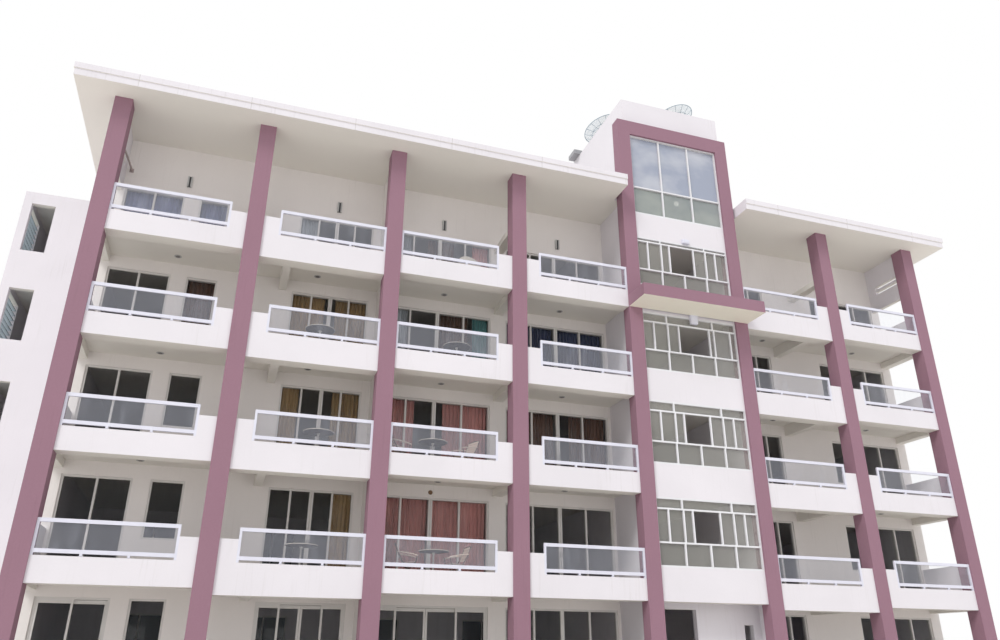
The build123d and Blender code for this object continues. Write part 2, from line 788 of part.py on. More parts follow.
wing_tops = upper_levels + [wing_top]
with BuildPart() as wing_infill:
    with BuildSketch(Plane.XY):
        with Locations(((wing_left + wall_thickness - end_face) / 2, wing_rear - wall_thickness / 2)):
            Rectangle(wing_length - wall_thickness, wall_thickness)
    extrude(amount=wing_top)
    sills = [0] + [level - wing_beam for level in wing_tops]
    tops = [level + window_sill_height for level in floor_levels] + [wing_top]
    for low, high in zip(sills, tops):
        with BuildSketch(Plane.XY.offset(low)):
            with Locations((sum(wing_hole) / 2, wing_face + wall_thickness / 2)):
                Rectangle(wing_opening_width, wall_thickness)
        extrude(amount=high - low)

wing_slab_left = wing_left + wall_thickness
with BuildPart() as wing_floors:
    for top in floor_levels + [wing_top]:
        thickness = ground_slab_top if top == ground_slab_top else slab_thickness
        with BuildSketch(Plane.XY.offset(top - thickness)):
            with Locations(((wing_slab_left - end_face) / 2, (wing_inside + wing_rear - wall_thickness) / 2)):
                Rectangle(-end_face - wing_slab_left, wing_depth - 2 * wall_thickness)
        extrude(amount=thickness)

# on the wing's open side: a low wall, slats above it and a beam over them, storey by storey
louvre_middle = wing_inside + louvre_bay / 2
with BuildPart() as wing_sill_walls:
    low_edges = [0] + [level - wing_beam for level in wing_tops]
    high_edges = [level + window_sill_height for level in floor_levels] + [wing_top]
    for low, high in zip(low_edges, high_edges):
        with BuildSketch(Plane.XY.offset(low)):
            with Locations((wing_left + wall_thickness / 2, louvre_middle)):
                Rectangle(wall_thickness, louvre_bay)
        extrude(amount=high - low)

louvre_low = window_sill_height
louvre_high = storey_height - wing_beam
louvre_pitch = (louvre_high - louvre_low) / (louvre_count + 1)
louvre_rises = [louvre_low + louvre_pitch * (n + 1) - louvre_thickness / 2 for n in range(louvre_count)]
with BuildPart() as wing_louvres:
    with BuildSketch(*[Plane.XY.offset(level + rise) for level in floor_levels for rise in louvre_rises]):
        with Locations((wing_left + wall_thickness / 2, louvre_middle)):
            Rectangle(louvre_depth, louvre_bay)
    extrude(amount=louvre_thickness)

# two shallow dishes of flat petals on posts, on the tower's roof; they look up and away from the street
dish_radius = 850
dish_sag = 280
dish_thickness = 20
dish_rim = 25
dish_petals = 16
dish_steps = 3
dish_tilt_back = 10
dish_tilt_left = 15
mast_radius = 50
mast_sides = 8
mast_height = 570
left_dish_inset = 610
left_dish_setback = 2880
right_dish_inset = 1125
right_dish_setback = 1460
dish_places = [(box_left + left_dish_inset, front + left_dish_setback)]
dish_places.append((box_right - right_dish_inset, front + right_dish_setback))
dish_height = box_roof_top + mast_height
ring_radii = [dish_radius * n / dish_steps for n in range(1, dish_steps + 1)]
ring_rises = [dish_sag * (radius**2 - ring_radii[0]**2) / dish_radius**2 for radius in ring_radii]
with BuildPart() as bowl:
    for shrink, lift, way in ((0, 0, Mode.ADD), (dish_rim, dish_thickness, Mode.SUBTRACT)):
        for n in range(1, dish_steps):
            spread = (ring_radii[n] - ring_radii[n - 1]) * cos(pi / dish_petals)
            climb = ring_rises[n] - ring_rises[n - 1]
            with BuildSketch(Plane.XY.offset(ring_rises[n - 1] + lift)):
                RegularPolygon(ring_radii[n - 1] - shrink, dish_petals)
            extrude(amount=climb, taper=-degrees(atan(spread / climb)), mode=way)
        if way == Mode.ADD:
            # the upright rim
            with BuildSketch(Plane.XY.offset(ring_rises[-1])):
                RegularPolygon(dish_radius, dish_petals)
            extrude(amount=dish_thickness)

leaning = [Location((x, y, dish_height), (-dish_tilt_back, -dish_tilt_left, 0)) for x, y in dish_places]
with BuildPart() as roof_dishes:
    with Locations(*leaning):
        add(bowl.part)

with BuildPart() as dish_masts:
    with BuildSketch(Plane.XY.offset(box_roof_top)):
        with Locations(*dish_places):
            RegularPolygon(mast_radius, mast_sides)
    extrude(amount=mast_height + mast_radius)
    with Locations(*leaning):
        width = 2 * dish_radius
        Box(width, width, dish_radius, align=(Align.CENTER, Align.CENTER, Align.MIN), mode=Mode.SUBTRACT)

# a plain box on the left parapet of the tower's roof
parapet_box_overhang = 260
parapet_box_width = 360
parapet_box_length = 590
parapet_box_height = 180
parapet_box_setback = 4090
with BuildPart() as parapet_box:
    with BuildSketch(Plane.XY.offset(tower_box_top)):
        box_corner = (box_left - parapet_box_overhang, front + parapet_box_setback)
        with Locations(box_corner):
            Rectangle(parapet_box_width, parapet_box_length, align=(Align.MIN, Align.MIN))
    extrude(amount=parapet_box_height)

nodes = {
    "ground_slab": ground_slab, "floor_slabs": floor_slabs, "roof_slabs": roof_slabs, "roof_caps": roof_caps,
    "columns": columns, "edge_beams": edge_beams, "cross_beams": cross_beams, "roof_ties": roof_ties,
    "end_panels": end_panels, "balcony_parapets": balcony_parapets, "parapet_blocks": parapet_blocks,
    "side_parapets": side_parapets, "railing_posts": railing_posts, "railing_bars": railing_bars,
    "railing_glass": railing_glass, "front_wall_piers": front_wall_piers, "front_wall_heads": front_wall_heads,
    "party_walls": party_walls, "door_stiles": door_stiles, "door_rails": door_rails, "door_glass": door_glass,
    "fixed_leaf_frames": fixed_leaf_frames, "fixed_leaf_glass": fixed_leaf_glass, "tower_legs": tower_legs,
    "tower_head_beam": tower_head_beam, "tower_canopy": tower_canopy, "tower_spandrels": tower_spandrels,
    "tower_crossbars": tower_crossbars, "tower_uprights": tower_uprights, "tower_glazing": tower_glazing,
    "tower_side_walls": tower_side_walls, "tower_floors": tower_floors, "tower_kerbs": tower_kerbs,
    "tower_box_sides": tower_box_sides, "tower_box_ends": tower_box_ends,
    "entrance_wall_piers": entrance_wall_piers, "entrance_wall_heads": entrance_wall_heads,
    "rear_wall_piers": rear_wall_piers, "rear_wall_heads": rear_wall_heads, "rear_glass": rear_glass,
    "end_walls": end_walls, "wing_walls": wing_walls, "wing_infill": wing_infill, "wing_floors": wing_floors,
    "wing_sill_walls": wing_sill_walls, "wing_louvres": wing_louvres, "roof_dishes": roof_dishes,
    "dish_masts": dish_masts, "parapet_box": parapet_box,
}
for name, node in nodes.items():
    node.part.label = name
    export_step(node.part, f"parts/{name}.step")
for name, leaf in leaf_parts.items():
    leaf.label = name
    export_step(leaf, f"parts/{name}.step")
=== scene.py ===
import json
import math
import random

import bmesh
import bpy
from mathutils import Matrix, Vector


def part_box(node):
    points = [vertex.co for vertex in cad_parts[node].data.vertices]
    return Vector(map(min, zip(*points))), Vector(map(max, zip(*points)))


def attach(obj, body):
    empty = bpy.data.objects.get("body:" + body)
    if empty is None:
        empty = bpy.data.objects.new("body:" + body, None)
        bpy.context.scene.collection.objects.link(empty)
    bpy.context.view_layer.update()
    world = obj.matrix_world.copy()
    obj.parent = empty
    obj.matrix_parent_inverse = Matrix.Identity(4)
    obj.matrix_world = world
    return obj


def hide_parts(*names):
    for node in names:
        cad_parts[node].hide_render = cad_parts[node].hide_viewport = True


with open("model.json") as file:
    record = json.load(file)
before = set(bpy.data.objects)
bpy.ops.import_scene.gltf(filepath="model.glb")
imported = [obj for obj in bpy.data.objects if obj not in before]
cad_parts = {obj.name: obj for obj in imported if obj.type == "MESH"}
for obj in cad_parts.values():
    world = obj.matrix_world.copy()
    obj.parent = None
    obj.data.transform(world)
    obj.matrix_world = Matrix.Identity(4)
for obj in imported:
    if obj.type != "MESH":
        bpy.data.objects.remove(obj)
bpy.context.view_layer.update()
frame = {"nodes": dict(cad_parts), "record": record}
nodes = frame["nodes"]

# sizes of the block, in metres
STOREY = 3.0
BAY = 4.0
SLAB = 0.18
GROUND = 0.15
FLOORS = [GROUND + STOREY * n for n in range(5)]
TOP = 4
LINES = [BAY * (n - 3.5) for n in range(8)]
WALL_FACE, WALL_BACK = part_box("front_wall_piers")[0].y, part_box("front_wall_piers")[1].y
DOOR_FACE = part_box("door_stiles")[0].y
COLUMN = 0.47
PARAPET_BLOCK = 0.44
PARAPET_TOP = 0.20
RAIL_LOW = 0.26
RAIL_WIDTH = 3.03
RAIL_POST = 0.06
DOOR_HEAD = 2.45
TOP_DOOR_DROP = 0.3
STILE = 0.055
PULL_RISE = 1.0
# shared line of each balcony bay and the direction in which the bay runs from it
BAYS = [(LINES[1], -1), (LINES[1], 1), (LINES[3], -1), (LINES[3], 1), (LINES[6], -1), (LINES[6], 1)]


class Paint:
    """A material being put together, with short calls for the nodes that it needs."""

    def __init__(self, name, colour, roughness, metallic=0.0, alpha=1.0):
        self.material = bpy.data.materials.new(name)
        self.material.use_nodes = True
        self.tree = self.material.node_tree
        self.tree.nodes.clear()
        output = self.tree.nodes.new("ShaderNodeOutputMaterial")
        self.shader = self.tree.nodes.new("ShaderNodeBsdfPrincipled")
        self.tree.links.new(self.shader.outputs[0], output.inputs[0])
        self.shader.inputs["Base Color"].default_value = (*colour, 1)
        self.shader.inputs["Roughness"].default_value = roughness
        self.shader.inputs["Metallic"].default_value = metallic
        self.shader.inputs["Alpha"].default_value = alpha
        self.place = self.tree.nodes.new("ShaderNodeTexCoord").outputs["Object"]

    def node(self, kind, **settings):
        made = self.tree.nodes.new(kind)
        for key, value in settings.items():
            setattr(made, key, value)
        return made

    def feed(self, socket, value):
        if isinstance(value, bpy.types.NodeSocket):
            self.tree.links.new(value, socket)
        else:
            socket.default_value = value

    def stretched(self, scale):
        mapping = self.node("ShaderNodeMapping")
        self.feed(mapping.inputs["Vector"], self.place)
        mapping.inputs["Scale"].default_value = scale
        return mapping.outputs[0]

    def noise(self, size, detail=4.0, stretch=(1, 1, 1)):
        """Noise whose patches are about size metres across, stretched by axis."""
        made = self.node("ShaderNodeTexNoise")
        self.feed(made.inputs["Vector"], self.stretched([s / size for s in stretch]))
        made.inputs["Scale"].default_value = 1.0
        made.inputs["Detail"].default_value = detail
        made.inputs["Roughness"].default_value = 0.55
        return made.outputs["Fac"]

    def span(self, value, low, high, to_low=0.0, to_high=1.0):
        """Value between low and high turned into to_low to to_high, and held there outside them."""
        made = self.node("ShaderNodeMapRange")
        numbers = {"Value": value, "From Min": low, "From Max": high, "To Min": to_low, "To Max": to_high}
        for key, number in numbers.items():
            self.feed(made.inputs[key], number)
        return made.outputs[0]

    def maths(self, operation, a, b=0.0):
        made = self.node("ShaderNodeMath", operation=operation)
        self.feed(made.inputs[0], a)
        self.feed(made.inputs[1], b)
        return made.outputs[0]

    def mix(self, amount, a, b):
        made = self.node("ShaderNodeMix", data_type="RGBA")
        self.feed(made.inputs["Factor"], amount)
        for socket, value in ((made.inputs[6], a), (made.inputs[7], b)):
            self.feed(socket, value if isinstance(value, bpy.types.NodeSocket) else (*value, 1))
        return made.outputs[2]

    def parted(self, vector, letter):
        made = self.node("ShaderNodeSeparateXYZ")
        self.feed(made.inputs[0], vector)
        return made.outputs[letter]

    def axis(self, letter):
        """Place on the piece along one axis."""
        return self.parted(self.place, letter)

    def facing(self, letter):
        """How far the surface faces along one axis of the scene, from -1 to 1."""
        return self.parted(self.node("ShaderNodeNewGeometry").outputs["True Normal"], letter)

    def bump(self, height, strength, distance):
        made = self.node("ShaderNodeBump")
        made.inputs["Strength"].default_value = strength
        made.inputs["Distance"].default_value = distance
        self.feed(made.inputs["Height"], height)
        self.feed(self.shader.inputs["Normal"], made.outputs[0])

    def done(self, colour=None, roughness=None):
        if colour is not None:
            self.feed(self.shader.inputs["Base Color"], colour)
        if roughness is not None:
            self.feed(self.shader.inputs["Roughness"], roughness)
        return self.material


def shade(colour, factor):
    return tuple(min(1.0, c * factor) for c in colour)


def render_coat(name, colour, dirt, dirt_amount, streak_top=None, underside=None, joints=None, top=None):
    """Painted render with broad patches, rain streaks and a fine trowelled grain.

    streak_top is how far above a floor the streaks start, underside the paint of faces that look down,
    joints the step and first place of the joints along the eaves, and top the colour of faces that look up.
    """
    roughness = 0.85
    paint = Paint(name, colour, roughness)
    patches = paint.span(paint.noise(2.6, 3.0), 0.35, 0.68)
    fine = paint.span(paint.noise(0.05, 6.0), 0.3, 0.7)
    drips = paint.span(paint.noise(0.06, 3.0, (1, 1, 0.05)), 0.55, 0.8)
    gusts = paint.span(paint.noise(0.9, 2.0, (1, 1, 0.25)), 0.45, 0.65)
    amount = paint.maths("MULTIPLY", paint.maths("MULTIPLY", drips, gusts), dirt_amount)
    base = paint.mix(patches, shade(colour, 0.965), shade(colour, 1.02))
    base = paint.mix(paint.maths("MULTIPLY", fine, 0.10), base, shade(colour, 0.88))
    if streak_top is not None:
        # streaks run down from each storey's ledge and fade below it
        height = paint.maths("MODULO", paint.maths("ADD", paint.axis("Z"), STOREY - GROUND), STOREY)
        near = paint.span(height, streak_top - 0.6, streak_top, 0.15, 1.0)
        amount = paint.maths("MULTIPLY", amount, near)
    base = paint.mix(amount, base, dirt)
    if underside is not None:
        base = paint.mix(paint.span(paint.facing("Z"), -0.9, -0.5), underside, base)
    if top is not None:
        # bare screed, blotched by standing water
        puddles = paint.span(paint.noise(1.3, 5.0), 0.4, 0.65)
        screed = paint.mix(puddles, top, shade(top, 0.82))
        base = paint.mix(paint.span(paint.facing("Z"), 0.5, 0.9), base, screed)
    height = paint.maths("ADD", paint.noise(0.012, 3.0), paint.maths("MULTIPLY", patches, 0.4))
    if joints is not None:
        # narrow upright joints at even steps
        step, first = joints
        along = paint.maths("MODULO", paint.maths("ADD", paint.axis("X"), 20 * step - first + step / 2), step)
        away = paint.maths("ABSOLUTE", paint.maths("SUBTRACT", along, step / 2))
        groove = paint.span(away, 0.006, 0.012, 1.0, 0.0)
        groove = paint.maths("MULTIPLY", groove, paint.span(paint.facing("Z"), -0.9, -0.5))
        base = paint.mix(paint.maths("MULTIPLY", groove, 0.5), base, dirt)
        height = paint.maths("SUBTRACT", height, paint.maths("MULTIPLY", groove, 2.0))
    paint.bump(height, 0.25, 0.004)
    return paint.done(base, paint.span(fine, 0, 1, roughness - 0.1, min(1.0, roughness + 0.08)))


def concrete(name, colour):
    """Bare or thinly painted concrete with pores and darker damp patches."""
    paint = Paint(name, colour, 0.9)
    damp = paint.span(paint.noise(1.7, 5.0), 0.45, 0.7)
    pores = paint.span(paint.noise(0.02, 8.0), 0.28, 0.42)
    base = paint.mix(damp, colour, shade(colour, 0.84))
    base = paint.mix(pores, shade(colour, 0.8), base)
    paint.bump(paint.noise(0.03, 8.0), 0.3, 0.004)
    return paint.done(base, paint.span(damp, 0, 1, 0.9, 0.7))


def painted_metal(name, colour, roughness=0.4, metallic=0.0):
    """Coated metal with faint chalking and grime in patches."""
    paint = Paint(name, colour, roughness, metallic)
    chalk = paint.span(paint.noise(0.35, 4.0), 0.4, 0.72)
    specks = paint.span(paint.noise(0.018, 4.0), 0.66, 0.82)
    base = paint.mix(chalk, colour, shade(colour, 0.94))
    base = paint.mix(paint.maths("MULTIPLY", specks, 0.25), base, (0.3, 0.28, 0.26))
    paint.bump(paint.noise(0.01, 2.0), 0.08, 0.002)
    return paint.done(base, paint.span(chalk, 0, 1, roughness, roughness + 0.18))


def pane(name, colour, alpha, upper=(), edge=None, clear=None, daylight=1.0):
    """Thin glass with faint rain marks.

    upper lists heights with the glass colour, the colour of painted cloud reflection in patches and the alpha
    of the panes above them, edge is the alpha seen at a slant, where a veil of the glass colour stands in as
    painted reflection, clear the stretch along the block where the panes are clearer, and daylight the share
    of the cover that stands in the way of light falling into the rooms.
    """
    roughness = 0.03
    paint = Paint(name, colour, roughness, 0.0, alpha)
    marks = paint.span(paint.noise(0.25, 5.0, (1, 1, 0.25)), 0.5, 0.75)
    paint.shader.inputs["IOR"].default_value = 1.5
    paint.bump(paint.noise(1.6, 1.0), 0.015, 0.01)
    base = paint.mix(marks, colour, shade(colour, 1.10))
    cover = paint.span(marks, 0, 1, alpha, min(1.0, alpha + 0.04))
    # above each height the glass takes its own colour with painted cloud reflection in patches
    for level, other, cloud_reflection, denser in upper:
        above = paint.span(paint.axis("Z"), level - 0.01, level + 0.01)
        painted_reflection = paint.mix(paint.span(paint.noise(1.1, 3.0, (0.7, 1, 1)), 0.42, 0.66), other, cloud_reflection)
        base = paint.mix(above, base, painted_reflection)
        cover = paint.maths("MAXIMUM", cover, paint.maths("MULTIPLY", above, denser))
    if clear is not None:
        start, end = clear
        past_start = paint.span(paint.axis("X"), start - 0.01, start + 0.01)
        before_end = paint.span(paint.axis("X"), end - 0.01, end + 0.01, 1.0, 0.0)
        inside = paint.maths("MULTIPLY", past_start, before_end)
        cover = paint.maths("MULTIPLY", cover, paint.span(inside, 0, 1, 1.0, 0.12))
    # a veil of the glass colour that thickens at a slant: painted reflection
    if edge is not None:
        slant = paint.node("ShaderNodeLayerWeight").outputs["Facing"]
        cover = paint.maths("MAXIMUM", cover, paint.span(slant, 0.45, 1.0, alpha, edge))
    if daylight < 1.0:
        path = paint.node("ShaderNodeLightPath").outputs
        falling = paint.maths("MAXIMUM", path["Is Shadow Ray"], path["Is Diffuse Ray"])
        cover = paint.maths("MULTIPLY", cover, paint.span(falling, 0, 1, 1.0, daylight))
    paint.feed(paint.shader.inputs["Alpha"], cover)
    return paint.done(base, paint.span(marks, 0, 1, roughness, roughness + 0.08))


def cloth(name, colour):
    """Curtain cloth: a plain weave, paler where the sun has bleached the folds."""
    weave = 0.0035
    paint = Paint(name, colour, 0.9)
    threads = paint.maths("ADD", paint.noise(weave, 2.0, (1, 1, 0.25)), paint.noise(weave, 2.0, (0.25, 1, 1)))
    fade = paint.span(paint.noise(0.6, 3.0, (1, 1, 0.4)), 0.35, 0.7)
    base = paint.mix(fade, shade(colour, 0.88), shade(colour, 1.12))
    base = paint.mix(paint.span(threads, 0.8, 1.2, 0.0, 0.25), base, shade(colour, 0.7))
    paint.shader.inputs["Sheen Weight"].default_value = 0.25
    paint.bump(threads, 0.3, 0.001)
    return paint.done(base)


def wire_mesh(name, colour, step, wire):
    """Woven wire laid over a dish, as holes between thin crossing wires in the piece's own UV map."""
    paint = Paint(name, colour, 0.45, 0.7)
    paint.place = paint.node("ShaderNodeTexCoord").outputs["UV"]
    lines = []
    for letter in ("X", "Y"):
        across = paint.maths("MODULO", paint.maths("ADD", paint.axis(letter), 10.0), step)
        lines.append(paint.maths("LESS_THAN", across, wire))
    paint.feed(paint.shader.inputs["Alpha"], paint.maths("MAXIMUM", *lines))
    return paint.done(paint.mix(paint.span(paint.noise(0.1), 0.4, 0.6), colour, shade(colour, 0.8)))


MAUVE = (0.305, 0.168, 0.220)
MAUVE_DIRT = (0.20, 0.11, 0.14)
WHITE = (0.775, 0.745, 0.785)
WHITE_DIRT = (0.50, 0.47, 0.45)
SOFFIT = (0.86, 0.83, 0.775)
# walls inside the balconies: the white render made paler and warmer, painted light for walls that stand in
# the balconies' shade
BALCONY_WALL_PAINTED_LIGHT = (0.86, 0.82, 0.80)
LEDGE = PARAPET_TOP + 0.02
eaves = render_coat("eaves_render", WHITE, (0.45, 0.42, 0.40), 0.25, underside=SOFFIT, joints=(3.04, -13.6),
                    top=(0.66, 0.64, 0.61))
canopy = render_coat("canopy_render", MAUVE, MAUVE_DIRT, 0.3, underside=(0.93, 0.88, 0.76))
slab_edges = render_coat("slab_render", WHITE, WHITE_DIRT, 0.25, underside=SOFFIT, top=(0.50, 0.47, 0.42))
# render of the balcony walls, with painted light in its paler, warmer colour
balcony_wall_painted_light = render_coat("balcony_wall_render", BALCONY_WALL_PAINTED_LIGHT, (0.50, 0.46, 0.42), 0.18, streak_top=LEDGE)
# height, glass colour, colour of the painted cloud reflection patches and alpha of the top tower window's
# panes: the low ones, then the tall ones above, whose blue is painted sky reflection
UPPER_PANES = (
    (15.2, (0.27, 0.30, 0.30), (0.34, 0.37, 0.35), 0.70),
    (16.45, (0.345, 0.38, 0.475), (0.50, 0.52, 0.59), 0.78),
)
materials = {
    "mauve_render": render_coat("mauve_render", MAUVE, MAUVE_DIRT, 0.30),
    "white_render": render_coat("white_render", WHITE, WHITE_DIRT, 0.28, streak_top=LEDGE, underside=SOFFIT),
    "soffit_paint": render_coat("soffit_paint", SOFFIT, (0.52, 0.47, 0.40), 0.22),
    "ground_concrete": concrete("ground_concrete", (0.42, 0.41, 0.40)),
    "railing_paint": painted_metal("railing_paint", (0.73, 0.73, 0.83)),
    "door_frames": painted_metal("door_frames", (0.72, 0.70, 0.68)),
    # door and railing panes carry painted reflection in a veil of their colour that thickens at a slant
    "door_panes": pane("door_panes", (0.045, 0.055, 0.065), 0.12, edge=0.55),
    "railing_panes": pane("railing_panes", (0.66, 0.68, 0.78), 0.10, edge=0.35),
    "tower_panes": pane("tower_panes", (0.36, 0.355, 0.33), 0.32, upper=UPPER_PANES, daylight=0.0),
    "louvre_metal": painted_metal("louvre_metal", (0.52, 0.60, 0.66), 0.45),
    "dish_mesh": painted_metal("dish_mesh", (0.34, 0.43, 0.51), 0.5, 0.2),
    "mast_metal": painted_metal("mast_metal", (0.40, 0.40, 0.42), 0.45, 0.7),
}
tower_frames = painted_metal("tower_frames", (0.78, 0.78, 0.81))
# rear windows: nearly opaque dark glass, a painted shade sheet that keeps the rooms dark, clearer behind the
# tower
rear_panes_painted_shade = pane("rear_panes_painted_shade", (0.05, 0.06, 0.07), 0.93, clear=(LINES[4], LINES[5]))
own_finish = {"roof_slabs": eaves, "roof_caps": eaves, "tower_canopy": canopy, "rear_glass": rear_panes_painted_shade}
own_finish.update({"tower_crossbars": tower_frames, "tower_uprights": tower_frames})
own_finish.update({name: slab_edges for name in ("floor_slabs", "wing_floors", "tower_floors")})
own_finish.update({name: balcony_wall_painted_light for name in ("front_wall_piers", "front_wall_heads", "party_walls")})
for entry in frame["record"]["subparts"]:
    node = nodes[entry["node"]]
    node.data.materials.clear()
    node.data.materials.append(own_finish.get(entry["node"], materials[entry["material_slot"]]))


def arc_points(radius, count):
    """Points of a circle about the origin, count steps in the whole turn, as (x, y)."""
    turns = [2 * math.pi * k / count for k in range(count)]
    return [(radius * math.cos(t), radius * math.sin(t)) for t in turns]


class Shape:
    """Mesh of one detail piece: bevelled blocks, rods and turned forms gathered in a single object."""

    def __init__(self):
        self.mesh = bmesh.new()
        self.at = Matrix.Identity(4)

    def stand(self, place, turn=0.0, tilt=0.0):
        """Where the next forms stand: a place, a turn about the vertical and a tilt towards the front."""
        self.at = (Matrix.Translation(Vector(place)) @ Matrix.Rotation(turn, 4, "Z")
                   @ Matrix.Rotation(tilt, 4, "X"))
        return self

    def lay(self, verts, matrix):
        bmesh.ops.transform(self.mesh, matrix=self.at @ matrix, verts=list({*verts}))

    def skin(self, rings):
        """Faces between rings of vertices in turn, and one over each end."""
        for first, second in zip(rings, rings[1:]):
            for k, vert in enumerate(first):
                j = (k + 1) % len(first)
                self.mesh.faces.new((vert, first[j], second[j], second[k]))
        self.mesh.faces.new(list(reversed(rings[0])))
        self.mesh.faces.new(rings[-1])

    def block(self, low, high, bevel=0.003):
        """Box between two corners with bevelled edges."""
        low, high = Vector(low), Vector(high)
        middle, size = (low + high) / 2, high - low
        made = bmesh.ops.create_cube(self.mesh, size=1.0)["verts"]
        bmesh.ops.scale(self.mesh, vec=size, verts=made)
        edges = list({edge for vert in made for edge in vert.link_edges})
        width = min(bevel, min(size) * 0.3)
        made = bmesh.ops.bevel(self.mesh, geom=edges, offset=width, segments=1, affect="EDGES")["verts"]
        self.lay(made, Matrix.Translation(middle))

    def rod(self, a, b, radius, sides=8):
        """Round bar from a to b."""
        a, b = Vector(a), Vector(b)
        made = bmesh.ops.create_cone(self.mesh, cap_ends=True, segments=sides, radius1=radius, radius2=radius,
                                     depth=(b - a).length)["verts"]
        self.lay(made, Matrix.Translation((a + b) / 2) @ (b - a).to_track_quat("Z", "Y").to_matrix().to_4x4())

    def pipe(self, points, radius, sides=8):
        """Round bar bent along the points, with mitred bends."""
        points = [Vector(q) for q in points]
        rings = []
        side = None
        for n, q in enumerate(points):
            along = (points[min(n + 1, len(points) - 1)] - points[max(n - 1, 0)]).normalized()
            if side is None:
                side = along.orthogonal().normalized()
            side = (side - along * side.dot(along)).normalized()
            other = along.cross(side)
            turns = [2 * math.pi * k / sides for k in range(sides)]
            ring = [self.at @ (q + radius * (math.cos(t) * side + math.sin(t) * other)) for t in turns]
            rings.append([self.mesh.verts.new(v) for v in ring])
        self.skin(rings)

    def turned(self, profile, sides=24):
        """Form turned about the vertical, from (radius, height) pairs, closed at both ends."""
        rings = [[self.at @ Vector((*q, height)) for q in arc_points(radius, sides)]
                 for radius, height in profile]
        self.skin([[self.mesh.verts.new(q) for q in ring] for ring in rings])

    def done(self, name, material, slot, body="building", smooth=False, replaced=()):
        bmesh.ops.recalc_face_normals(self.mesh, faces=self.mesh.faces)
        data = bpy.data.meshes.new(name)
        self.mesh.to_mesh(data)
        self.mesh.free()
        for face in data.polygons:
            face.use_smooth = smooth
        data.materials.append(material)
        settle(bpy.data.objects.new(name, data), body, replaced)


def settle(piece, body="building", replaced=()):
    """Puts a finished piece into the scene under its body and hides the parts it replaces."""
    bpy.context.scene.collection.objects.link(piece)
    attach(piece, body)
    if replaced:
        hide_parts(*replaced)
    return piece


class Plan:
    """Geometry Nodes tree written here in script, with named sizes as its inputs."""

    def __init__(self, name, sizes):
        self.tree = bpy.data.node_groups.new(name, "GeometryNodeTree")
        self.tree.is_modifier = True
        self.tree.interface.new_socket(name="Geometry", in_out="INPUT", socket_type="NodeSocketGeometry")
        self.named = {}
        for key, value in sizes.items():
            made = self.tree.interface.new_socket(name=key, in_out="INPUT", socket_type="NodeSocketFloat")
            made.default_value = value
            self.named[key] = (made.identifier, value)
        self.tree.interface.new_socket(name="Geometry", in_out="OUTPUT", socket_type="NodeSocketGeometry")
        self.entry = self.tree.nodes.new("NodeGroupInput")
        self.exit = self.tree.nodes.new("NodeGroupOutput")

    def size(self, key):
        return self.entry.outputs[key]

    def node(self, kind, inputs, **settings):
        made = self.tree.nodes.new(kind)
        for key, value in settings.items():
            setattr(made, key, value)
        for key, value in inputs.items():
            socket = made.inputs[key]
            if isinstance(value, bpy.types.NodeSocket):
                self.tree.links.new(value, socket)
            else:
                socket.default_value = value
        return made

    def maths(self, operation, a, b=0.0):
        return self.node("ShaderNodeMath", {0: a, 1: b}, operation=operation).outputs[0]

    def times(self, a, factor):
        return self.maths("MULTIPLY", a, factor)

    def vector(self, x=0.0, y=0.0, z=0.0):
        return self.node("ShaderNodeCombineXYZ", {0: x, 1: y, 2: z}).outputs[0]

    def solid_box(self, x, y, z):
        return self.node("GeometryNodeMeshCube", {"Size": self.vector(x, y, z)}).outputs[0]

    def disc(self, radius, depth):
        sizes = {"Vertices": 24, "Radius": radius, "Depth": depth}
        return self.node("GeometryNodeMeshCylinder", sizes).outputs[0]

    def moved(self, geometry, x=0.0, y=0.0, z=0.0):
        inputs = {"Geometry": geometry, "Translation": self.vector(x, y, z)}
        return self.node("GeometryNodeTransform", inputs).outputs[0]

    def joined(self, parts):
        made = self.tree.nodes.new("GeometryNodeJoinGeometry")
        for part in parts:
            self.tree.links.new(part, made.inputs[0])
        return made.outputs[0]

    def end(self, geometry, material):
        """The geometry on each point of the starting mesh, made real and given its material."""
        inputs = {"Points": self.entry.outputs["Geometry"], "Instance": geometry}
        copies = self.node("GeometryNodeInstanceOnPoints", inputs).outputs[0]
        real = self.node("GeometryNodeRealizeInstances", {"Geometry": copies}).outputs[0]
        painted = self.node("GeometryNodeSetMaterial", {"Geometry": real, "Material": material}).outputs[0]
        self.tree.links.new(painted, self.exit.inputs[0])

    def grow(self, name, places, slot, **sizes):
        """Runs the tree on a mesh of loose points and keeps the result as a plain mesh."""
        start = bpy.data.meshes.new(name + "_places")
        start.from_pydata([tuple(q) for q in places], [], [])
        carrier = bpy.data.objects.new(name + "_places", start)
        bpy.context.scene.collection.objects.link(carrier)
        modifier = carrier.modifiers.new("plan", "NODES")
        modifier.node_group = self.tree
        for key, (identifier, value) in self.named.items():
            modifier[identifier] = sizes.get(key, value)
        graph = bpy.context.evaluated_depsgraph_get()
        grown = carrier.evaluated_get(graph)
        data = bpy.data.meshes.new_from_object(grown, preserve_all_data_layers=True, depsgraph=graph)
        data.name = name
        bpy.data.objects.remove(carrier)
        bpy.data.meshes.remove(start)
        settle(bpy.data.objects.new(name, data))


white_metal = materials["railing_paint"]
frame_metal = materials["door_frames"]
dark_plastic = painted_metal("dark_plastic", (0.045, 0.045, 0.05), 0.45)
lamp_metal = painted_metal("lamp_metal", (0.50, 0.50, 0.50), 0.45)
chair_frame = painted_metal("chair_frame", (0.10, 0.07, 0.055), 0.5)
chair_slats = painted_metal("chair_slats", (0.62, 0.50, 0.42), 0.55)
table_top = painted_metal("table_top", (0.52, 0.48, 0.42), 0.45)
table_edge = painted_metal("table_edge", (0.035, 0.03, 0.03), 0.85)
table_legs = painted_metal("table_legs", (0.55, 0.53, 0.50), 0.4)

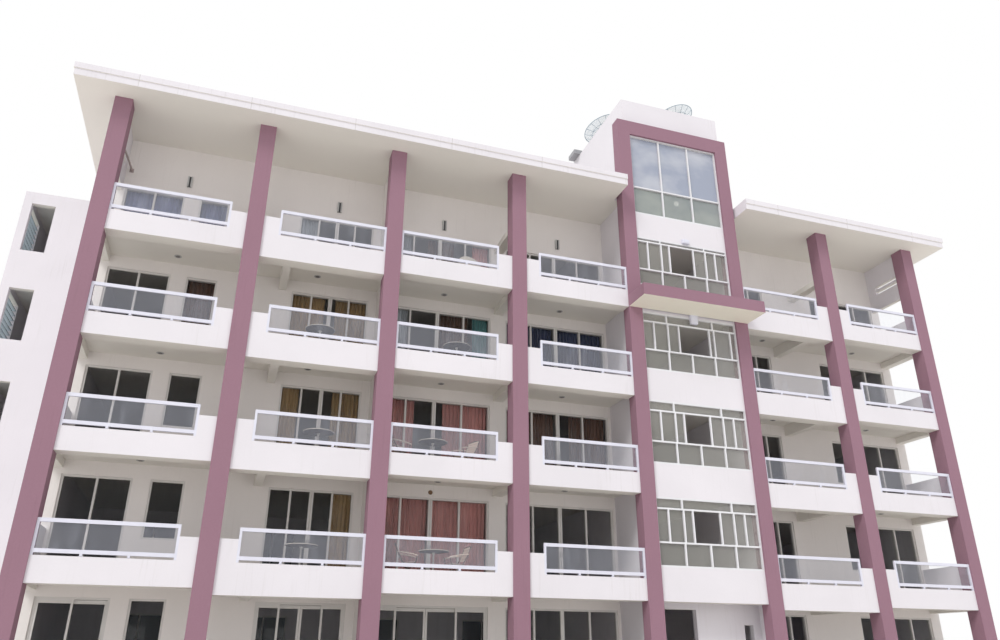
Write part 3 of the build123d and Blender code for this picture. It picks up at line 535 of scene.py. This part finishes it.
# two feet under each railing, a third of its width apart
railing_y = (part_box("railing_bars")[0].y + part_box("railing_bars")[1].y) / 2
feet = Plan("railing_feet", {"width": 0.06, "depth": 0.06, "height": RAIL_LOW - PARAPET_TOP, "flange": 0.11})
FLANGE_THICKNESS = 0.006
flange = feet.moved(feet.solid_box(feet.size("flange"), feet.size("depth"), FLANGE_THICKNESS),
                    z=FLANGE_THICKNESS / 2)
foot = feet.moved(feet.solid_box(feet.size("width"), feet.size("depth"), feet.size("height")),
                  z=feet.times(feet.size("height"), 0.5))
feet.end(feet.joined([flange, foot]), white_metal)
rail_middle = COLUMN / 2 + PARAPET_BLOCK + RAIL_POST + (RAIL_WIDTH - RAIL_POST) / 2
foot_places = [(line + way * rail_middle + part * RAIL_WIDTH, railing_y, level + PARAPET_TOP)
               for line, way in BAYS for level in FLOORS[1:] for part in (-1 / 6, 1 / 6)]
feet.grow("railing_feet", foot_places, "railing_paint")

# round downlights under each balcony: a rim and a lens that stands a little below it
DOWNLIGHT_Y = -3.4
lamp_lens = painted_metal("lamp_lens", (0.13, 0.12, 0.115), 0.3)
light_places = [(line + way * BAY / 2, DOWNLIGHT_Y, level - SLAB)
                for line, way in BAYS for level in FLOORS[1:]]
for name, radius, lip, sink, finish in (("downlight_rims", 0.10, 0.012, 0.006, lamp_metal),
                                        ("downlight_lenses", 0.062, 0.016, 0.009, lamp_lens)):
    lights = Plan(name, {"radius": radius, "lip": lip})
    lights.end(lights.moved(lights.disc(lights.size("radius"), lights.size("lip")), z=-sink), finish)
    lights.grow(name, light_places, "louvre_metal")

# up-and-down lamps on the top storey's wall: a dark core between two cheeks
cores = Plan("wall_lamp_cores", {"width": 0.05, "height": 0.34, "depth": 0.07})
core = cores.solid_box(cores.size("width"), cores.size("depth"), cores.size("height"))
cores.end(cores.moved(core, y=cores.times(cores.size("depth"), -0.5)), dark_plastic)
cheeks = Plan("wall_lamp_cheeks", {"gap": 0.055, "cheek": 0.04, "height": 0.36, "depth": 0.08})
half = cheeks.times(cheeks.maths("ADD", cheeks.size("gap"), cheeks.size("cheek")), 0.5)
plate = cheeks.solid_box(cheeks.size("cheek"), cheeks.size("depth"), cheeks.size("height"))
sides = [cheeks.moved(plate, x=half), cheeks.moved(plate, x=cheeks.times(half, -1.0))]
cheeks.end(cheeks.moved(cheeks.joined(sides), y=cheeks.times(cheeks.size("depth"), -0.5)), lamp_metal)
WALL_LAMP_Z = 14.79
lamp_places = [(x, WALL_FACE, WALL_LAMP_Z) for x in (-12.1, -7.49, -3.95, 0.19, 7.6, 12.0)]
cores.grow("wall_lamp_cores", lamp_places, "louvre_metal")
cheeks.grow("wall_lamp_cheeks", lamp_places, "louvre_metal")

# small bronze lamp over one of the doors
dome = Shape().stand((-4.08, WALL_FACE, FLOORS[1] + 2.60), 0.0, math.pi / 2)
dome.turned([(0.055, -0.002), (0.065, 0.012), (0.062, 0.03), (0.05, 0.05), (0.028, 0.066),
             (0.004, 0.072)], 20)
bronze = painted_metal("bronze_lamp", (0.24, 0.15, 0.09), 0.45, 0.5)
dome.done("door_lamp", bronze, "louvre_metal", smooth=True)

# a thin strut between the first column and the wall, with a plate at the wall
STRUT_X = -13.78
strut = Shape()
strut_line = ((-4.52, 14.52), (-4.30, 14.58), (-3.10, 14.84), (WALL_FACE + 0.02, 14.86))
strut.pipe([(STRUT_X, y, z) for y, z in strut_line], 0.03)
strut.block((STRUT_X - 0.06, WALL_FACE - 0.012, 14.79), (STRUT_X + 0.06, WALL_FACE + 0.002, 14.93))
strut.done("corner_strut", painted_metal("strut_paint", (0.46, 0.38, 0.37), 0.6), "mast_metal", smooth=True)

# the meeting stiles of the upper doors, broader than the rest, and their pulls
MEETING = (-7.495, -4.06, 0.06, 7.495)
beads = Plan("meeting_stiles", {"width": 0.052, "gap": 0.012, "depth": 0.028, "height": DOOR_HEAD - STILE})
offset = beads.times(beads.maths("ADD", beads.size("width"), beads.size("gap")), 0.5)
bar = beads.solid_box(beads.size("width"), beads.size("depth"), beads.size("height"))
pair = beads.joined([beads.moved(bar, x=offset), beads.moved(bar, x=beads.times(offset, -1.0))])
half_height = beads.times(beads.size("height"), 0.5)
beads.end(beads.moved(pair, y=beads.times(beads.size("depth"), -0.5), z=half_height), frame_metal)
beads.grow("meeting_stiles", [(x, DOOR_FACE, level) for x in MEETING for level in FLOORS[1:TOP]],
           "door_frames")
beads.grow("top_meeting_stiles", [(x, DOOR_FACE, FLOORS[TOP]) for x in MEETING], "door_frames",
           height=DOOR_HEAD - TOP_DOOR_DROP - STILE)
pulls = Shape()
for x in MEETING:
    for level in FLOORS[1:]:
        for side in (-0.032, 0.032):
            pulls.stand((x + side, DOOR_FACE - 0.028, level + PULL_RISE))
            pulls.block((-0.011, -0.006, -0.09), (0.011, 0.0, 0.09))
            pulls.pipe([(0, -0.004, -0.07), (0, -0.03, -0.055), (0, -0.03, 0.055), (0, -0.004, 0.07)], 0.006)
pulls.done("door_pulls", lamp_metal, "door_frames")

# flush pulls that move with the ground floor's sliding leaves
LEAF_FACE = -2.76
for body, x in (("bay_1_leaf", -12.245), ("bay_2_left_leaf", -7.525), ("bay_2_right_leaf", -7.465),
                ("bay_3_left_leaf", -4.09), ("bay_3_right_leaf", -4.03)):
    plate = Shape().stand((x, LEAF_FACE, FLOORS[0] + PULL_RISE))
    plate.block((-0.014, -0.006, -0.10), (0.014, 0.001, 0.10), 0.002)
    plate.block((-0.007, -0.008, -0.075), (0.007, -0.005, 0.075), 0.001)
    plate.done(body + "_pull", lamp_metal, "door_frames", body)

# aluminium frames in the rear windows: a head, two sides, the bar where two sashes meet, and an outer sill
REAR_SILL = 0.9
rear_y = (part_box("rear_glass")[0].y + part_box("rear_glass")[1].y) / 2
sash = Plan("rear_window_frames", {"width": 1.6, "height": 1.55, "bar": 0.05, "depth": 0.07})
width, height, bar, depth = (sash.size(key) for key in ("width", "height", "bar", "depth"))
inner = sash.maths("SUBTRACT", height, sash.times(bar, 2.0))
side_x = sash.times(sash.maths("SUBTRACT", width, bar), 0.5)
head_z = sash.maths("SUBTRACT", height, sash.times(bar, 0.5))
middle_z = sash.times(height, 0.5)
level_bar, upright = sash.solid_box(width, depth, bar), sash.solid_box(bar, depth, inner)
outer_sill = sash.moved(sash.solid_box(width, 0.05, 0.025), y=0.055, z=0.0125)
sash.end(sash.joined([
    sash.moved(level_bar, z=sash.times(bar, 0.5)), sash.moved(level_bar, z=head_z),
    sash.moved(upright, x=side_x, z=middle_z), sash.moved(upright, x=sash.times(side_x, -1.0), z=middle_z),
    sash.moved(upright, z=middle_z), outer_sill]), frame_metal)
rear_places = [(line + BAY / 2, rear_y, level + REAR_SILL) for line in LINES[:-1] for level in FLOORS]
sash.grow("rear_window_frames", rear_places, "door_frames")

# globe lamp on the right wall of the top landing
GLOBE_Y, GLOBE_Z, GLOBE_RADIUS = -1.92, 18.2, 0.1
landing_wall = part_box("tower_box_sides")[1].x - 0.2
globe_glass = Paint("globe_glass", (0.9, 0.88, 0.84), 0.35)
globe_glass.shader.inputs["Emission Color"].default_value = (1.0, 0.95, 0.86, 1)
globe_glass.shader.inputs["Emission Strength"].default_value = 2.0
globe, holder = Shape(), Shape()
globe.stand((landing_wall - 0.14, GLOBE_Y, GLOBE_Z))
half_turn = [math.pi * k / 12 for k in range(1, 12)]
globe.turned([(GLOBE_RADIUS * math.sin(t), -GLOBE_RADIUS * math.cos(t)) for t in half_turn], 20)
globe.done("landing_globe", globe_glass.done(), "louvre_metal", smooth=True)
for start, end, radius, sides in ((-0.002, 0.012, 0.05, 20), (0.01, 0.05, 0.028, 16)):
    ends = [(landing_wall - reach, GLOBE_Y, GLOBE_Z) for reach in (start, end)]
    holder.rod(*ends, radius, sides)
holder.done("landing_globe_holder", lamp_metal, "louvre_metal", smooth=True)

# white lamp boxes on the tower windows' top rails
boxes = Shape()
for low_x, high_x, low_z, high_z in ((3.99, 4.25, 14.45, 14.61), (4.00, 4.27, 11.44, 11.77)):
    boxes.block((low_x, -5.03, low_z), (high_x, -4.918, high_z), 0.012)
    boxes.block((low_x + 0.03, -5.036, low_z + 0.03), (high_x - 0.03, -5.028, high_z - 0.03), 0.004)
boxes.done("tower_lamp_boxes", white_metal, "railing_paint")


def folding_chair(dark, light, place, turn):
    """Folding armchair: crossed side frames, light slats on the seat and back, and light arm rests."""
    for side in (-0.26, 0.26):
        near = side * 0.93
        dark.stand(place, turn)
        long_leg = [(side, -0.22, 0.0), (side, 0.10, 0.42), (side, 0.24, 0.66), (side, 0.33, 0.90)]
        short_leg = [(near, 0.30, 0.0), (near, -0.02, 0.30), (near, -0.22, 0.44), (near, -0.26, 0.62)]
        arm_rest = [(side, 0.27, 0.70), (side, 0.05, 0.68), (side, -0.20, 0.63), (side, -0.28, 0.60)]
        dark.pipe(long_leg, 0.014, 6)
        dark.pipe(short_leg, 0.014, 6)
        light.stand(place, turn)
        light.pipe(arm_rest, 0.019, 6)
    dark.pipe([(-0.26, 0.33, 0.90), (-0.1, 0.345, 0.93), (0.1, 0.345, 0.93), (0.26, 0.33, 0.90)], 0.015, 6)
    dark.rod((-0.24, -0.215, 0.02), (0.24, -0.215, 0.02), 0.010, 6)
    for n in range(6):
        y, z = -0.22 + 0.062 * n, 0.445 - 0.006 * n
        light.block((-0.235, y, z), (0.235, y + 0.05, z + 0.014))
    for n in range(5):
        z = 0.53 + 0.078 * n
        y = 0.178 + (z - 0.50) * 0.37
        light.block((-0.24, y, z), (0.24, y + 0.014, z + 0.055))


def tube_chair(dark, light, place, turn):
    """Round-backed chair of bent tube with a round seat."""
    dark.stand(place, turn)
    turns = [math.pi * (k / 8 - 1) * 0.62 + 0.975 for k in range(9)]
    back = [(0.30 * math.sin(t), 0.26 * math.cos(t), 0.88 - 0.16 * (1 - math.cos(t))) for t in turns]
    dark.pipe(back, 0.015, 6)
    round_turns = [2 * math.pi * k / 16 for k in range(17)]
    dark.pipe([(0.26 * math.cos(t), 0.24 * math.sin(t), 0.44) for t in round_turns], 0.012, 6)
    for x, y in ((-0.2, -0.19), (0.2, -0.19), (-0.2, 0.19), (0.2, 0.19)):
        dark.rod((x * 1.15, y * 1.15, 0.0), (x, y, 0.44), 0.012, 6)
    for k in (1, 3, 5, 7):
        dark.rod(back[k], (back[k][0] * 0.8, back[k][1] * 0.8, 0.44), 0.009, 6)
    light.stand(place, turn)
    light.turned([(0.001, 0.445), (0.235, 0.445), (0.235, 0.465), (0.20, 0.475), (0.001, 0.475)])


TABLE_Y, CHAIR_Y = -4.2, -4.15
TABLE_RADIUS, TABLE_RISE = 0.42, 0.76


def bistro_table(top, under, dark, place):
    """Round pedestal table: a thin top with a light face and dark underside, a post and four curved feet."""
    radius, rise = TABLE_RADIUS, TABLE_RISE
    top.stand(place)
    top.turned([(radius - 0.012, rise - 0.008), (radius, rise - 0.008), (radius, rise + 0.008),
                (radius - 0.006, rise + 0.012), (0.001, rise + 0.012)], 36)
    under.stand(place)
    under.turned([(0.02, rise - 0.035), (radius - 0.10, rise - 0.025), (radius - 0.006, rise - 0.010),
                  (0.02, rise - 0.009)], 36)
    dark.stand(place)
    dark.turned([(0.028, 0.10), (0.024, 0.20), (0.024, rise - 0.10), (0.05, rise - 0.03)], 12)
    for n in range(4):
        a = math.pi / 4 + n * math.pi / 2
        out = Vector((math.cos(a), math.sin(a), 0))
        dark.pipe([out * reach + Vector((0, 0, z))
                   for reach, z in ((0.02, 0.16), (0.12, 0.12), (0.26, 0.03), (0.32, 0.013))], 0.013, 6)


tops, undersides, table_frames, seat_frames, seat_slats = (Shape() for _ in range(5))
for x, storey in ((-4.25, 1), (-7.76, 1), (-4.39, 2), (-7.6, 2), (-3.76, 3), (-7.83, 3)):
    bistro_table(tops, undersides, table_frames, (x, TABLE_Y, FLOORS[storey]))
for x, storey, turn in ((-4.95, 1, 1.35), (-3.60, 1, -1.5), (-3.42, 2, -1.2), (-5.35, 2, 1.7)):
    folding_chair(seat_frames, seat_slats, (x, CHAIR_Y, FLOORS[storey]), turn)
# a table stood on its edge against the railing of the top storey
for half_table in (tops, undersides):
    half_table.stand((-3.45, -4.42, FLOORS[TOP] + 0.43), 0.2, math.radians(72))
tops.turned([(0.001, -0.012), (TABLE_RADIUS, -0.012), (TABLE_RADIUS, 0.010), (0.001, 0.012)], 36)
undersides.turned([(0.001, -0.03), (0.37, -0.03), (0.40, -0.011), (0.001, -0.011)])
for x, turn in ((0.9, 0.5), (11.6, -0.4)):
    tube_chair(seat_frames, seat_slats, (x, TABLE_Y, FLOORS[TOP]), turn)
tops.done("table_tops", table_top, "mast_metal")
undersides.done("table_undersides", table_edge, "mast_metal")
table_frames.done("table_frames", table_legs, "mast_metal")
seat_frames.done("seat_frames", chair_frame, "mast_metal")
seat_slats.done("seat_slats", chair_slats, "mast_metal")

# curtains behind the doors, on a rod under each door's head
CLOTH_COLOURS = {
    "rose": (0.88, 0.45, 0.42), "ochre": (0.62, 0.43, 0.22), "pale": (0.74, 0.80, 0.86),
    "teal": (0.16, 0.42, 0.43), "navy": (0.07, 0.09, 0.19), "blue": (0.34, 0.38, 0.62),
    "brown": (0.20, 0.105, 0.07),
}
cloths = {name: cloth(name + "_cloth", colour) for name, colour in CLOTH_COLOURS.items()}
# colour, storey, from, to and how closely the folds are gathered
HUNG = [
    ("rose", 1, -5.84, -4.10, 1.0), ("rose", 1, -4.02, -2.28, 1.0),
    ("rose", 2, -5.84, -4.62, 0.8), ("rose", 2, -3.72, -2.28, 1.0),
    ("pale", 3, -5.84, -4.98, 1.0), ("brown", 3, -4.02, -2.95, 1.0), ("teal", 3, -2.80, -2.28, 0.8),
    ("ochre", 1, -6.92, -6.34, 0.9),
    ("ochre", 2, -8.65, -8.12, 0.8), ("ochre", 2, -7.15, -6.34, 0.9),
    ("ochre", 3, -8.65, -7.62, 0.9), ("ochre", 3, -7.30, -6.34, 0.9),
    ("navy", 3, -1.72, 0.02, 1.0), ("navy", 3, 0.10, 1.84, 1.0),
    ("pale", 4, -8.65, -8.06, 0.9), ("brown", 3, -11.70, -10.87, 1.0),
    ("brown", 2, -1.72, 0.02, 1.0), ("brown", 2, 0.55, 1.84, 1.0),
    ("blue", 4, -13.82, -12.20, 1.0), ("blue", 4, -11.70, -10.87, 1.0),
    ("pale", 4, -5.84, -4.98, 0.9), ("brown", 4, -4.40, -3.50, 1.0), ("rose", 4, -2.85, -2.28, 0.8),
]
# from and to of each opening that has curtains
DOORWAYS = ((-13.85, -12.2), (-11.72, -10.85), (-8.67, -6.32), (-5.86, -2.26), (-1.74, 1.86))
ROD_Y = WALL_BACK + 0.12
FOLD = 0.125
FOLD_STEPS = 8
DROP_STEPS = 10


def curtain_head(storey):
    """Height of the top of a storey's curtains."""
    return FLOORS[storey] + DOOR_HEAD - (TOP_DOOR_DROP if storey == TOP else 0.0) + 0.02


def curtain(name, paint, x0, x1, low, high, close, seed):
    """Hanging cloth gathered into soft folds that open towards the hem."""
    dice = random.Random(seed)
    folds = max(3, round((x1 - x0) / (FOLD * close)))
    across = folds * FOLD_STEPS
    sway = [dice.uniform(0.65, 1.25) for _ in range(folds + 1)]
    lean = [dice.uniform(-0.3, 0.3) for _ in range(folds + 1)]
    grid = []
    mesh = bmesh.new()
    for j in range(DROP_STEPS + 1):
        drop = j / DROP_STEPS
        row = []
        for i in range(across + 1):
            t = i / FOLD_STEPS
            n = min(folds - 1, int(t))
            f = t - n
            reach = sway[n] * (1 - f) + sway[n + 1] * f
            turn = 2 * math.pi * t + 0.5 * math.sin(3 * drop + lean[n])
            deep = 0.026 + 0.020 * drop
            x = x0 + (x1 - x0) * t / folds + 0.014 * math.sin(2 * turn) * reach
            x = min(max(x, x0), x1)
            y = ROD_Y + deep * reach * math.sin(turn) + 0.01 * math.sin(5 * drop + 1.7 * t + seed)
            row.append(mesh.verts.new((x, y, high - (high - low) * drop)))
        grid.append(row)
    for upper, lower in zip(grid, grid[1:]):
        for i in range(across):
            mesh.faces.new((upper[i], lower[i], lower[i + 1], upper[i + 1]))
    area = sum(face.calc_area() for face in mesh.faces)
    data = bpy.data.meshes.new(name)
    mesh.to_mesh(data)
    mesh.free()
    for face in data.polygons:
        face.use_smooth = True
    data.materials.append(paint)
    piece = settle(bpy.data.objects.new(name, data))


def doorway_of(x):
    """The opening that a curtain starting at x hangs in."""
    return next(span for span in DOORWAYS if span[0] - 0.1 <= x <= span[1])


rods = Shape()
for storey, (x0, x1) in sorted({(row[1], doorway_of(row[2])) for row in HUNG}):
    head = curtain_head(storey) + 0.01
    rods.rod((x0 - 0.05, ROD_Y, head), (x1 + 0.05, ROD_Y, head), 0.012)
    for x in (x0 - 0.03, (x0 + x1) / 2, x1 + 0.03):
        rods.block((x - 0.012, WALL_BACK - 0.002, head - 0.03), (x + 0.012, ROD_Y + 0.012, head - 0.010))
rods.done("curtain_rods", lamp_metal, "door_frames")
for n, (colour, storey, x0, x1, close) in enumerate(HUNG):
    curtain("curtain_%02d" % n, cloths[colour], x0, x1, FLOORS[storey] + 0.02, curtain_head(storey), close, n)

# roof dishes of woven wire on ribs and rings, in place of the solid ones
DISH_RADIUS, DISH_FLAT, DISH_SAG = 0.85, 0.2833, 0.28
DISH_MIDDLE_RING = 0.5667
SKIN_INNER, SKIN_WIDTH = 0.10, 0.725
DISH_TURNS, DISH_RIBS, SKIN_ROWS, RIB_STEPS = 48, 16, 8, 6
DISH_PLACES, DISH_Z = ((2.81, -2.12), (5.11, -3.54)), 20.75
DISH_TIP, DISH_LEAN = math.radians(-10), math.radians(-15)
wire = wire_mesh("dish_wire", (0.48, 0.60, 0.70), 0.03, 0.0055)


def dish_point(radius, turn, lift=0.0):
    """A point of the dish's bowl, lifted along its axis."""
    sag = DISH_SAG * (radius ** 2 - DISH_FLAT ** 2) / DISH_RADIUS ** 2
    return radius * math.cos(turn), radius * math.sin(turn), max(0.0, sag) + 0.012 + lift


dish_frames, dish_skins = Shape(), bmesh.new()
uv_layer = dish_skins.loops.layers.uv.new("UVMap")
turns = [2 * math.pi * k / DISH_TURNS for k in range(DISH_TURNS + 1)]
skin_radii = [SKIN_INNER + SKIN_WIDTH * j / SKIN_ROWS for j in range(SKIN_ROWS + 1)]
for x, y in DISH_PLACES:
    place = (Matrix.Translation((x, y, DISH_Z)) @ Matrix.Rotation(DISH_TIP, 4, "X")
             @ Matrix.Rotation(DISH_LEAN, 4, "Y"))
    dish_frames.at = place
    for radius, thick in ((DISH_FLAT, 0.009), (DISH_MIDDLE_RING, 0.008), (SKIN_INNER + SKIN_WIDTH, 0.013)):
        dish_frames.pipe([dish_point(radius, t) for t in turns], thick, 6)
    for k in range(DISH_RIBS):
        a = 2 * math.pi * k / DISH_RIBS
        steps = [SKIN_INNER + SKIN_WIDTH * j / RIB_STEPS for j in range(RIB_STEPS + 1)]
        dish_frames.pipe([dish_point(r, a, -0.006) for r in steps], 0.0075, 5)
    dish_frames.turned([(0.11, -0.02), (0.12, 0.0), (0.12, 0.012), (0.04, 0.02)])
    for k in range(3):
        a = 2 * math.pi * (k + 0.5) / 3
        strut_top = (0.03 * math.cos(a), 0.03 * math.sin(a), 0.40)
        dish_frames.rod(dish_point(DISH_MIDDLE_RING, a), strut_top, 0.007, 6)
    dish_frames.turned([(0.045, 0.33), (0.055, 0.36), (0.055, 0.41), (0.03, 0.43)], 16)
    rings = [[dish_skins.verts.new(place @ Vector(dish_point(r, t))) for t in turns[:-1]] for r in skin_radii]
    for j in range(SKIN_ROWS):
        for k in range(DISH_TURNS):
            m = (k + 1) % DISH_TURNS
            face = dish_skins.faces.new((rings[j][k], rings[j + 1][k], rings[j + 1][m], rings[j][m]))
            face.smooth = True
            for loop, (jj, kk) in zip(face.loops, ((j, k), (j + 1, k), (j + 1, k + 1), (j, k + 1))):
                loop[uv_layer].uv = dish_point(skin_radii[jj], turns[kk])[:2]
skin_mesh = bpy.data.meshes.new("dish_skins")
dish_skins.to_mesh(skin_mesh)
dish_skins.free()
skin_mesh.materials.append(wire)
settle(bpy.data.objects.new("dish_skins", skin_mesh), replaced=["roof_dishes"])
dish_frames.done("dish_frames", materials["dish_mesh"], "dish_mesh", replaced=["roof_dishes"])

# camera at the photograph's viewing point
VIEWPOINT = Vector((-9.689, -25.806, 1.225))
YAW, PITCH, ROLL = 0.32619, 0.40461, 0.00418
camera_data = bpy.data.cameras.new("camera")
camera_data.sensor_width = 36.0
camera_data.lens = 28.548
camera_data.clip_end = 500.0
camera = bpy.data.objects.new("camera", camera_data)
bpy.context.scene.collection.objects.link(camera)
forward = Vector((math.sin(YAW) * math.cos(PITCH), math.cos(YAW) * math.cos(PITCH), math.sin(PITCH)))
level_right = Vector((math.cos(YAW), -math.sin(YAW), 0.0))
level_up = level_right.cross(forward)
right = math.cos(ROLL) * level_right + math.sin(ROLL) * level_up
up = math.cos(ROLL) * level_up - math.sin(ROLL) * level_right
camera.matrix_world = Matrix.Translation(VIEWPOINT) @ Matrix((right, up, -forward)).transposed().to_4x4()
bpy.context.scene.camera = camera

# plain pale floor
FLOOR_REACH = 150.0
corners = [(x * FLOOR_REACH, y * FLOOR_REACH, 0) for x, y in ((-1, -1), (1, -1), (1, 1), (-1, 1))]
floor_mesh = bpy.data.meshes.new("floor")
floor_mesh.from_pydata(corners, [], [(0, 1, 2, 3)])
floor_mesh.materials.append(Paint("floor_paint", (0.80, 0.78, 0.74), 0.95).done())
floor = bpy.data.objects.new("floor", floor_mesh)
bpy.context.scene.collection.objects.link(floor)

# one distant soft light, from the front, the left and above
KEY_AZIMUTH, KEY_ELEVATION = math.radians(-49), math.radians(42)
key_data = bpy.data.lights.new("key", "SUN")
key_data.energy = 1.40
key_data.angle = math.radians(20)
key_data.color = (1.0, 0.985, 0.96)
key = bpy.data.objects.new("key", key_data)
level_part = math.cos(KEY_ELEVATION)
towards = Vector((math.sin(KEY_AZIMUTH) * level_part, -math.cos(KEY_AZIMUTH) * level_part,
                  math.sin(KEY_ELEVATION)))
key.rotation_mode = "QUATERNION"
key.rotation_quaternion = towards.to_track_quat("Z", "Y")
bpy.context.scene.collection.objects.link(key)

# soft light from all round, and plain white where the camera, a gloss or a clear pane looks past the block
world = bpy.data.worlds.new("world")
bpy.context.scene.world = world
world.use_nodes = True
sky = world.node_tree
sky.nodes.clear()
sky_out = sky.nodes.new("ShaderNodeOutputWorld")
soft, plain = (sky.nodes.new("ShaderNodeBackground") for _ in range(2))
for background, colour, strength in ((soft, (0.97, 0.98, 1.0, 1), 0.95), (plain, (1, 1, 1, 1), 1.0)):
    background.inputs[0].default_value = colour
    background.inputs[1].default_value = strength
either = sky.nodes.new("ShaderNodeMixShader")
ray = sky.nodes.new("ShaderNodeLightPath")
looks_past = ray.outputs["Is Camera Ray"]
for kind in ("Is Glossy Ray", "Is Transmission Ray"):
    highest = sky.nodes.new("ShaderNodeMath")
    highest.operation = "MAXIMUM"
    sky.links.new(looks_past, highest.inputs[0])
    sky.links.new(ray.outputs[kind], highest.inputs[1])
    looks_past = highest.outputs[0]
sky.links.new(looks_past, either.inputs[0])
sky.links.new(soft.outputs[0], either.inputs[1])
sky.links.new(plain.outputs[0], either.inputs[2])
sky.links.new(either.outputs[0], sky_out.inputs[0])
bpy.context.scene.view_settings.view_transform = "Standard"
